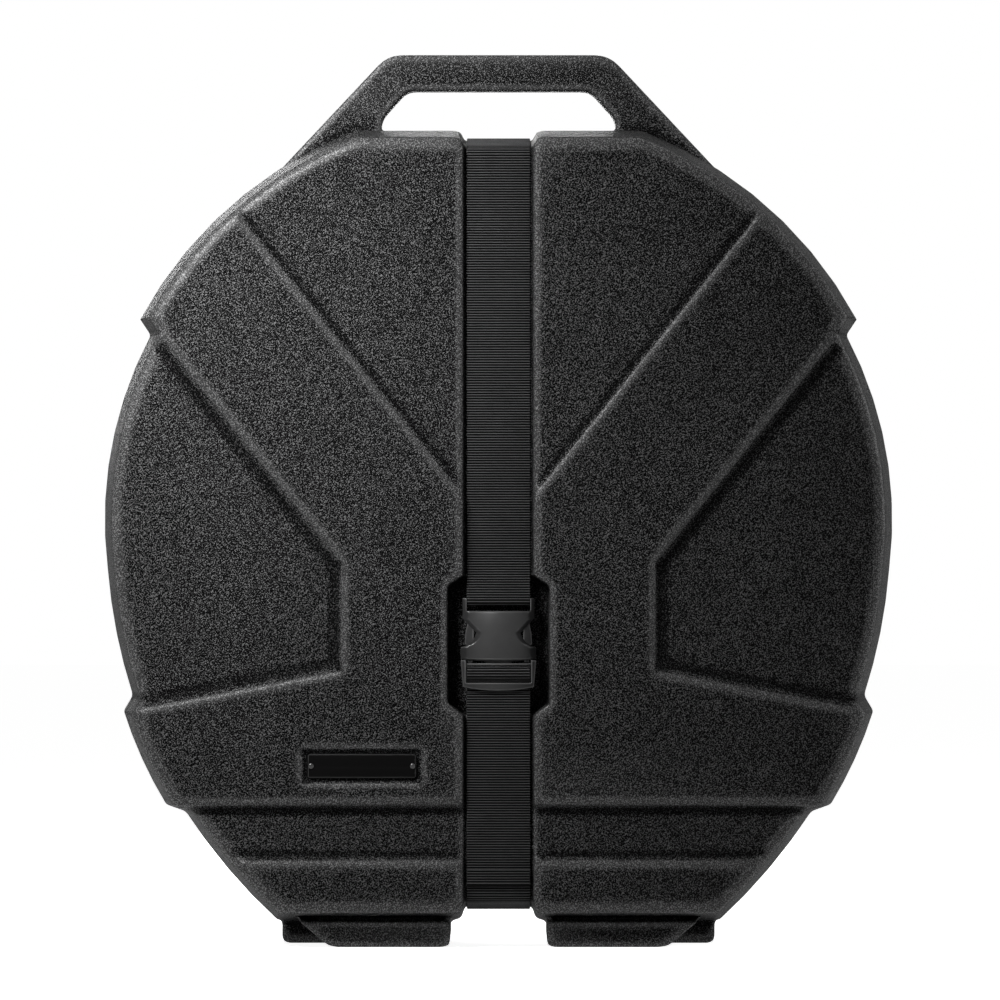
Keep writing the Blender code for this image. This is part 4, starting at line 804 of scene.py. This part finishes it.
class CASE_OT_studio(bpy.types.Operator):
    """Camera, lamps, floor and backdrop"""
    bl_idname = "cymbal_case.studio"
    bl_label = "Studio"

    def execute(self, context):
        settings = context.scene.case_studio
        scene = context.scene
        camera = new_object("camera", bpy.data.cameras.new("camera"))
        camera.data.sensor_width = 36.0
        front = settings.distance + CASE_FRONT
        camera.data.lens = camera.data.sensor_width * front / settings.frame_width
        camera.data.clip_end = 100.0
        camera.location = (settings.across, -settings.distance, settings.middle)
        camera.rotation_euler = (math.radians(90), 0, 0)
        scene.camera = camera
        scene.view_settings.view_transform = "Standard"
        middle = (0.0, 0.0, settings.middle)
        lamps = (
            ("key_lamp", (-0.55, -0.75, 1.05), (-0.33, -0.09, 0.62), 0.5, 64, settings.key),
            ("side_lamp", (2.4, 0.2, 0.9), middle, 1.2, 180, settings.side),
            ("top_lamp", (-0.5, 0.2, 2.4), middle, 0.9, 180, settings.top),
            ("back_lamp", (-0.3, 2.2, 0.9), middle, 0.9, 180, settings.back),
        )
        for name, place, aim, width, spread, power in lamps:
            lamp = bpy.data.lights.new(name, "AREA")
            lamp.size = width
            lamp.spread = math.radians(spread)
            lamp.energy = power
            obj = new_object(name, lamp)
            obj.location = place
            obj.rotation_euler = (Vector(aim) - obj.location).to_track_quat("-Z", "Y").to_euler()
        self.world(scene, settings)
        self.floor(settings)
        return {"FINISHED"}

    def seen(self, graph):
        """1 for rays that show the background: to the camera, in a gloss or through glass."""
        path = graph.tree.nodes.new("ShaderNodeLightPath")
        camera, glossy, through = (
            Wire(graph, path.outputs[name])
            for name in ("Is Camera Ray", "Is Glossy Ray", "Is Transmission Ray")
        )
        return camera.maths("MAXIMUM", camera, glossy.maths("MAXIMUM", glossy, through))

    def world(self, scene, settings):
        world = bpy.data.worlds.new("studio")
        scene.world = world
        world.use_nodes = True
        graph = Graph(world.node_tree)
        seen = self.seen(graph)
        strength = seen + (1 - seen) * settings.ambient
        background = world.node_tree.nodes["Background"]
        graph.plug(background.inputs["Color"], (1.0, 1.0, 1.0))
        graph.plug(background.inputs["Strength"], strength)

    def floor(self, settings, half=12.0, drop=0.0005):
        """A square floor just below the case, which glows where the camera or a gloss sees it."""
        corners = [(-half, -half), (half, -half), (half, half), (-half, half)]
        mesh = plain_mesh([(x, y, CASE_LOW.z - drop) for x, y in corners], faces=[(0, 1, 2, 3)])
        floor = new_object("floor", mesh)
        material = bpy.data.materials.new("pale_floor")
        material.use_nodes = True
        graph = Graph(material.node_tree)
        shader = material.node_tree.nodes["Principled BSDF"]
        graph.plug(shader.inputs["Base Color"], settings.floor)
        graph.plug(shader.inputs["Roughness"], 1.0)
        graph.plug(shader.inputs["Specular IOR Level"], 0.0)
        plain = Wire(graph, shader.outputs[0])
        white = {"Color": (1.0, 1.0, 1.0), "Strength": settings.glow}
        glow = graph.node("ShaderNodeEmission", values=white)
        both = graph.node("ShaderNodeAddShader", values={0: plain, 1: glow})
        choice = graph.node("ShaderNodeMixShader", values={0: self.seen(graph), 1: plain, 2: both})
        graph.plug(material.node_tree.nodes["Material Output"].inputs["Surface"], choice)
        mesh.materials.append(material)


class CASE_OT_shells(bpy.types.Operator):
    """Both moulded shells with rounded edges and pebbled texture"""
    bl_idname = "cymbal_case.shells"
    bl_label = "Shells"

    def execute(self, context):
        settings = context.scene.case_shells
        finish = shell_finish(settings)
        marks = edge_marks(settings, finish)
        for node, body in (("rear_shell", "base"), ("front_shell", "cover")):
            skin = moulded(node, settings, marks)
            dress(skin, finish, body, "moulded_shell", node)
        return {"FINISHED"}


class CASE_OT_strap(bpy.types.Operator):
    """The webbing strap round the case, its turn round the buckle's bar, its tail and its stitches"""
    bl_idname = "cymbal_case.strap"
    bl_label = "Strap"

    def execute(self, context):
        settings = context.scene.case_strap
        finish = webbing_finish(settings)
        webbing_tree()
        stitch_tree()
        self.loop(settings, finish)
        self.turn(settings, finish)
        self.tail(settings, finish)
        thread = Finish("dark_thread", settings.thread, 0.5)
        face = strap_depths()[0] - WEB_THICK / 2
        height, depth = self.sewn_bar(settings)[1] + settings.fold_seam, face - settings.fold_lift
        stitches("fold_stitches", height, depth, settings, thread, "cover")
        height, depth = TAIL_LOW.z + settings.hem_seam, TAIL_LOW.y + settings.hem_sink
        stitches("hem_stitches", height, depth, settings, thread, "tail")
        return {"FINISHED"}

    def sewn_bar(self, settings):
        """The middle (y, z) of the socket's sewn-in bar."""
        return (SOCKET_LOW.y + SOCKET_HIGH.y) / 2, SOCKET_HIGH.z - settings.bar_drop

    def loop(self, settings, finish):
        """The long run, from its folded end round the sewn-in bar and round the case to the plug."""
        front, back, top, base = strap_depths()
        level, split = settings.level, TAIL_LOW.z + settings.split
        fall = (-front - level) * settings.floor_slope
        bar = self.sewn_bar(settings)
        fold = front + WEB_THICK + settings.fold_gap
        points = [(fold, FOLD_LOW + settings.fold_end), (fold, bar[1] + settings.fold_start)]
        points += arc(bar, settings.bar_turn, 0, -180)
        points += [(front, bar[1] + settings.lean)]
        over = [
            (front, top - fall), (-level, top), (level, top), (back, top - fall),
            (back, base + fall), (level, base), (-level, base), (front, base + fall), (front, split),
        ]
        run = filleted(points[-2:] + over, settings.bend)
        strap = webbing("strap_round_case", points[:-2] + run, settings, finish)
        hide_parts("strap_back_run", "strap_upper_run", "strap_lower_run")
        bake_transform(strap)

    def turn(self, settings, finish):
        """The run up behind the plug, over its middle bar and down in front to the tail."""
        front = strap_depths()[0]
        split = TAIL_LOW.z + settings.split
        bar = (front - WEB_THICK / 2 - settings.plug_bar_out, WRAP_HIGH.z - settings.plug_bar_drop)
        tail_depth = TAIL_HIGH.y - WEB_THICK / 2
        run = [(front, split)] + arc(bar, settings.plug_turn, 0, 180)
        down = [
            run[-1], (bar[0] - settings.plug_turn, bar[1] - settings.slope_start),
            (tail_depth, bar[1] - settings.slope_end), (tail_depth, TAIL_HIGH.z),
        ]
        wrap = webbing("strap_turn", run[:-1] + filleted(down, settings.slope_bend), settings, finish)
        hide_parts("strap_wrap")
        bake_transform(wrap)

    def tail(self, settings, finish):
        """The free end, which is turned forward and up into a hem."""
        depth = TAIL_HIGH.y - WEB_THICK / 2
        turn = (depth - settings.hem_turn, TAIL_LOW.z + settings.hem_rise)
        run = [(depth, TAIL_HIGH.z)] + arc(turn, settings.hem_turn, 0, -180)
        run.append((run[-1][0], TAIL_LOW.z + settings.hem_end))
        tail = webbing("strap_tail_hemmed", run, settings, finish)
        dress(tail, finish, "tail", "black_webbing", "strap_tail")


class CASE_OT_buckle(bpy.types.Operator):
    """The side-release buckle: socket, plug and its two prongs"""
    bl_idname = "cymbal_case.buckle"
    bl_label = "Buckle"

    def execute(self, context):
        settings = context.scene.case_buckle
        finish = moulded_finish(
            "buckle_plastic", settings.colour, settings.roughness, burnish=settings.burnish,
            dome=settings.dome,
        )
        marks = edge_marks(settings, finish)
        pieces = (
            ("buckle_socket", "cover", self.crown), ("buckle_plug", "plug", None),
            ("prong_left", "left_prong", None), ("prong_right", "right_prong", None),
        )
        for node, body, shape in pieces:
            piece = moulded(node, settings, marks, shape)
            dress(piece, finish, body, "buckle_plastic", node)
        return {"FINISHED"}

    def crown(self, mesh, band=0.0013, roof=0.55, foot=2):
        """Lets the socket's front fall away towards its outline, which is measured in bands of height,
        and more steeply to its foot. What lies further in than the roof stays as it is."""
        settings = bpy.context.scene.case_buckle
        tall = SOCKET_HIGH.z - SOCKET_LOW.z
        bands = round(tall / band)
        halves = [0.0] * (bands + 2)
        for vert in mesh.vertices:
            at = min(max(round((vert.co.z - SOCKET_LOW.z) / tall * bands), 0), bands)
            halves[at] = max(halves[at], abs(vert.co.x))
        halves[-1] = halves[-2]
        middle = (SOCKET_LOW.y + SOCKET_HIGH.y) / 2
        for vert in mesh.vertices:
            out = (middle - vert.co.y) / (middle - SOCKET_LOW.y)
            share = min(max((out - roof) / (1 - roof), 0), 1)
            place = min(max((vert.co.z - SOCKET_LOW.z) / tall, 0), 1) * bands
            at = int(place)
            half = halves[at] + (halves[at + 1] - halves[at]) * (place - at)
            off = min(half - abs(vert.co.x), (vert.co.z - SOCKET_LOW.z) * foot)
            part = min(max(off / settings.crown_width, 0), 1)
            part = part * part * (3 - 2 * part)
            fall = settings.crown * (1 - part) + settings.bulge * (vert.co.x / half) ** 2
            vert.co.y += fall * share


class CASE_OT_badge(bpy.types.Operator):
    """The bare badge plate and its two domed screws"""
    bl_idname = "cymbal_case.badge"
    bl_label = "Badge plate"

    def execute(self, context):
        settings = context.scene.case_badge
        plate = softened("badge_plate", "badge_plate_bare", settings.edge, segments=2)
        dress(plate, badge_finish(settings), "cover", "badge_finish", "badge_plate")
        finish = steel_finish("screw_steel", settings.screw, 0.22)
        low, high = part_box("badge_screw_left")
        screw = self.screw((high.x - low.x) / 2, high.y - low.y)
        screws = fastened("badge_screws", ("badge_screw_left", "badge_screw_right"), screw, finish)
        dress(screws, finish, "cover", "screw_steel", "badge_screw_left", "badge_screw_right")
        return {"FINISHED"}

    def screw(self, radius, length, head=0.0012, shank=0.42, sides=32, rings=6):
        """A domed head with a shank, along +Y from its top at the origin."""
        angles = [math.pi / 2 * ring / rings for ring in range(rings + 1)]
        profile = [(radius * math.sin(a), head * (1 - math.cos(a))) for a in angles]
        profile += [(radius * shank, head), (radius * shank, length), (0.0, length)]
        bm = bmesh.new()
        verts = [bm.verts.new((reach, y, 0.0)) for reach, y in profile]
        edges = [bm.edges.new(pair) for pair in zip(verts, verts[1:])]
        bmesh.ops.spin(
            bm, geom=verts + edges, cent=(0, 0, 0), axis=(0, 1, 0), angle=2 * math.pi, steps=sides,
            use_merge=True,
        )
        bmesh.ops.remove_doubles(bm, verts=bm.verts, dist=WELD)
        return turned_out("screw", bm, sharp=40)


class CASE_OT_foam(bpy.types.Operator):
    """The foam rings and pads, and the felts on the post"""
    bl_idname = "cymbal_case.foam"
    bl_label = "Foam and felt"

    def execute(self, context):
        settings = context.scene.case_foam
        foam = soft_finish("charcoal_foam", settings.foam, cell=0.0016, depth=0.0004)
        felt = soft_finish("grey_felt", settings.felt, cell=0.0007, depth=0.0002)
        foams = (
            ("base_side_foam", "base"), ("base_pad", "base"),
            ("cover_side_foam", "cover"), ("cover_pad", "cover"),
        )
        felts = (("lower_felt", "base"), ("upper_felt", "carriage"))
        kinds = (
            ("charcoal_foam", foam, settings.foam_edge, foams),
            ("grey_felt", felt, settings.felt_edge, felts),
        )
        for slot, finish, radius, pieces in kinds:
            for node, body in pieces:
                piece = softened(node, f"{node}_soft", radius)
                dress(piece, finish, body, slot, node)
        return {"FINISHED"}


class CASE_OT_post(bpy.types.Operator):
    """The centre post: flange, bolts, threaded rod, sleeve, washer and knob"""
    bl_idname = "cymbal_case.post"
    bl_label = "Centre post"

    def execute(self, context):
        settings = context.scene.case_post
        plastic = moulded_finish("post_plastic", settings.plastic, 0.45, grain=0.0006, depth=0.00005)
        steel = steel_finish("zinc_steel", settings.steel, 0.3)
        for node, body in (("post_flange", "base"), ("post_sleeve", "base"), ("post_knob", "knob")):
            piece = softened(node, f"{node}_moulding", settings.edge)
            dress(piece, plastic, body, "buckle_plastic", node)
        washer = softened("clamp_washer", "clamp_washer_turned", settings.washer_edge, segments=2)
        dress(washer, steel, "carriage", "zinc_steel", "clamp_washer")
        rod = grow("threaded_rod", thread_tree(), plain_mesh([(0.0, 0.0, 0.0)]), {
            "Radius": (ROD_HIGH.x - ROD_LOW.x) / 2, "Length": ROD_HIGH.y - ROD_LOW.y,
            "Pitch": settings.pitch, "Depth": settings.depth, "Material": steel.material,
        })
        middle = (ROD_LOW.z + ROD_HIGH.z) / 2
        for vert in rod.data.vertices:
            vert.co = vert.co + Vector((0, ROD_HIGH.y, middle))
        dress(rod, steel, "base", "zinc_steel", "post_rod")
        nodes = [f"flange_bolt_{index}" for index in range(1, 5)]
        low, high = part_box(nodes[0])
        bolt = self.bolt((high.x - low.x) / 2, high.y - low.y)
        bolts = fastened("flange_bolts", nodes, bolt, steel)
        dress(bolts, steel, "base", "zinc_steel", *nodes)
        return {"FINISHED"}

    def bolt(self, radius, length, head=0.003, shank=0.55, sides=32):
        """A hexagon head with a shank, along +Y from its top at the origin."""
        bm = bmesh.new()
        prisms = ((6, radius, 0.0, head), (sides, radius * shank, head, length))
        for corners, reach, near, far in prisms:
            angles = [2 * math.pi * index / corners for index in range(corners)]
            rings = [
                [bm.verts.new((reach * math.cos(a), y, reach * math.sin(a))) for a in angles]
                for y in (near, far)
            ]
            for index in range(corners):
                after = (index + 1) % corners
                bm.faces.new((rings[0][index], rings[0][after], rings[1][after], rings[1][index]))
            bm.faces.new(rings[0])
            bm.faces.new(rings[1])
        return turned_out("bolt", bm, sharp=35)


# The add-on
OPERATORS = (
    CASE_OT_studio, CASE_OT_shells, CASE_OT_strap, CASE_OT_buckle,
    CASE_OT_badge, CASE_OT_foam, CASE_OT_post,
)


class CASE_PT_panel(bpy.types.Panel):
    """Lists the case's pieces and their sizes"""
    bl_idname = "CASE_PT_panel"
    bl_label = "Cymbal case"
    bl_space_type = "VIEW_3D"
    bl_region_type = "UI"
    bl_category = "Case"

    def draw(self, context):
        for operator, name in zip(OPERATORS, GROUPS):
            box = self.layout.box()
            box.operator(operator.bl_idname)
            settings = getattr(context.scene, name)
            for label in settings.__annotations__:
                box.prop(settings, label)


def register():
    for group in GROUPS.values():
        bpy.utils.register_class(group)
    for name, group in GROUPS.items():
        setattr(bpy.types.Scene, name, PointerProperty(type=group))
    for cls in OPERATORS + (CASE_PT_panel,):
        bpy.utils.register_class(cls)


def unregister():
    for cls in (CASE_PT_panel,) + OPERATORS[::-1]:
        bpy.utils.unregister_class(cls)
    for name, group in GROUPS.items():
        delattr(bpy.types.Scene, name)
        bpy.utils.unregister_class(group)


def main():
    register()
    bpy.ops.cymbal_case.studio()
    bpy.ops.cymbal_case.shells()
    bpy.ops.cymbal_case.strap()
    bpy.ops.cymbal_case.buckle()
    bpy.ops.cymbal_case.badge()
    bpy.ops.cymbal_case.foam()
    bpy.ops.cymbal_case.post()


if __name__ == "__main__":
    main()
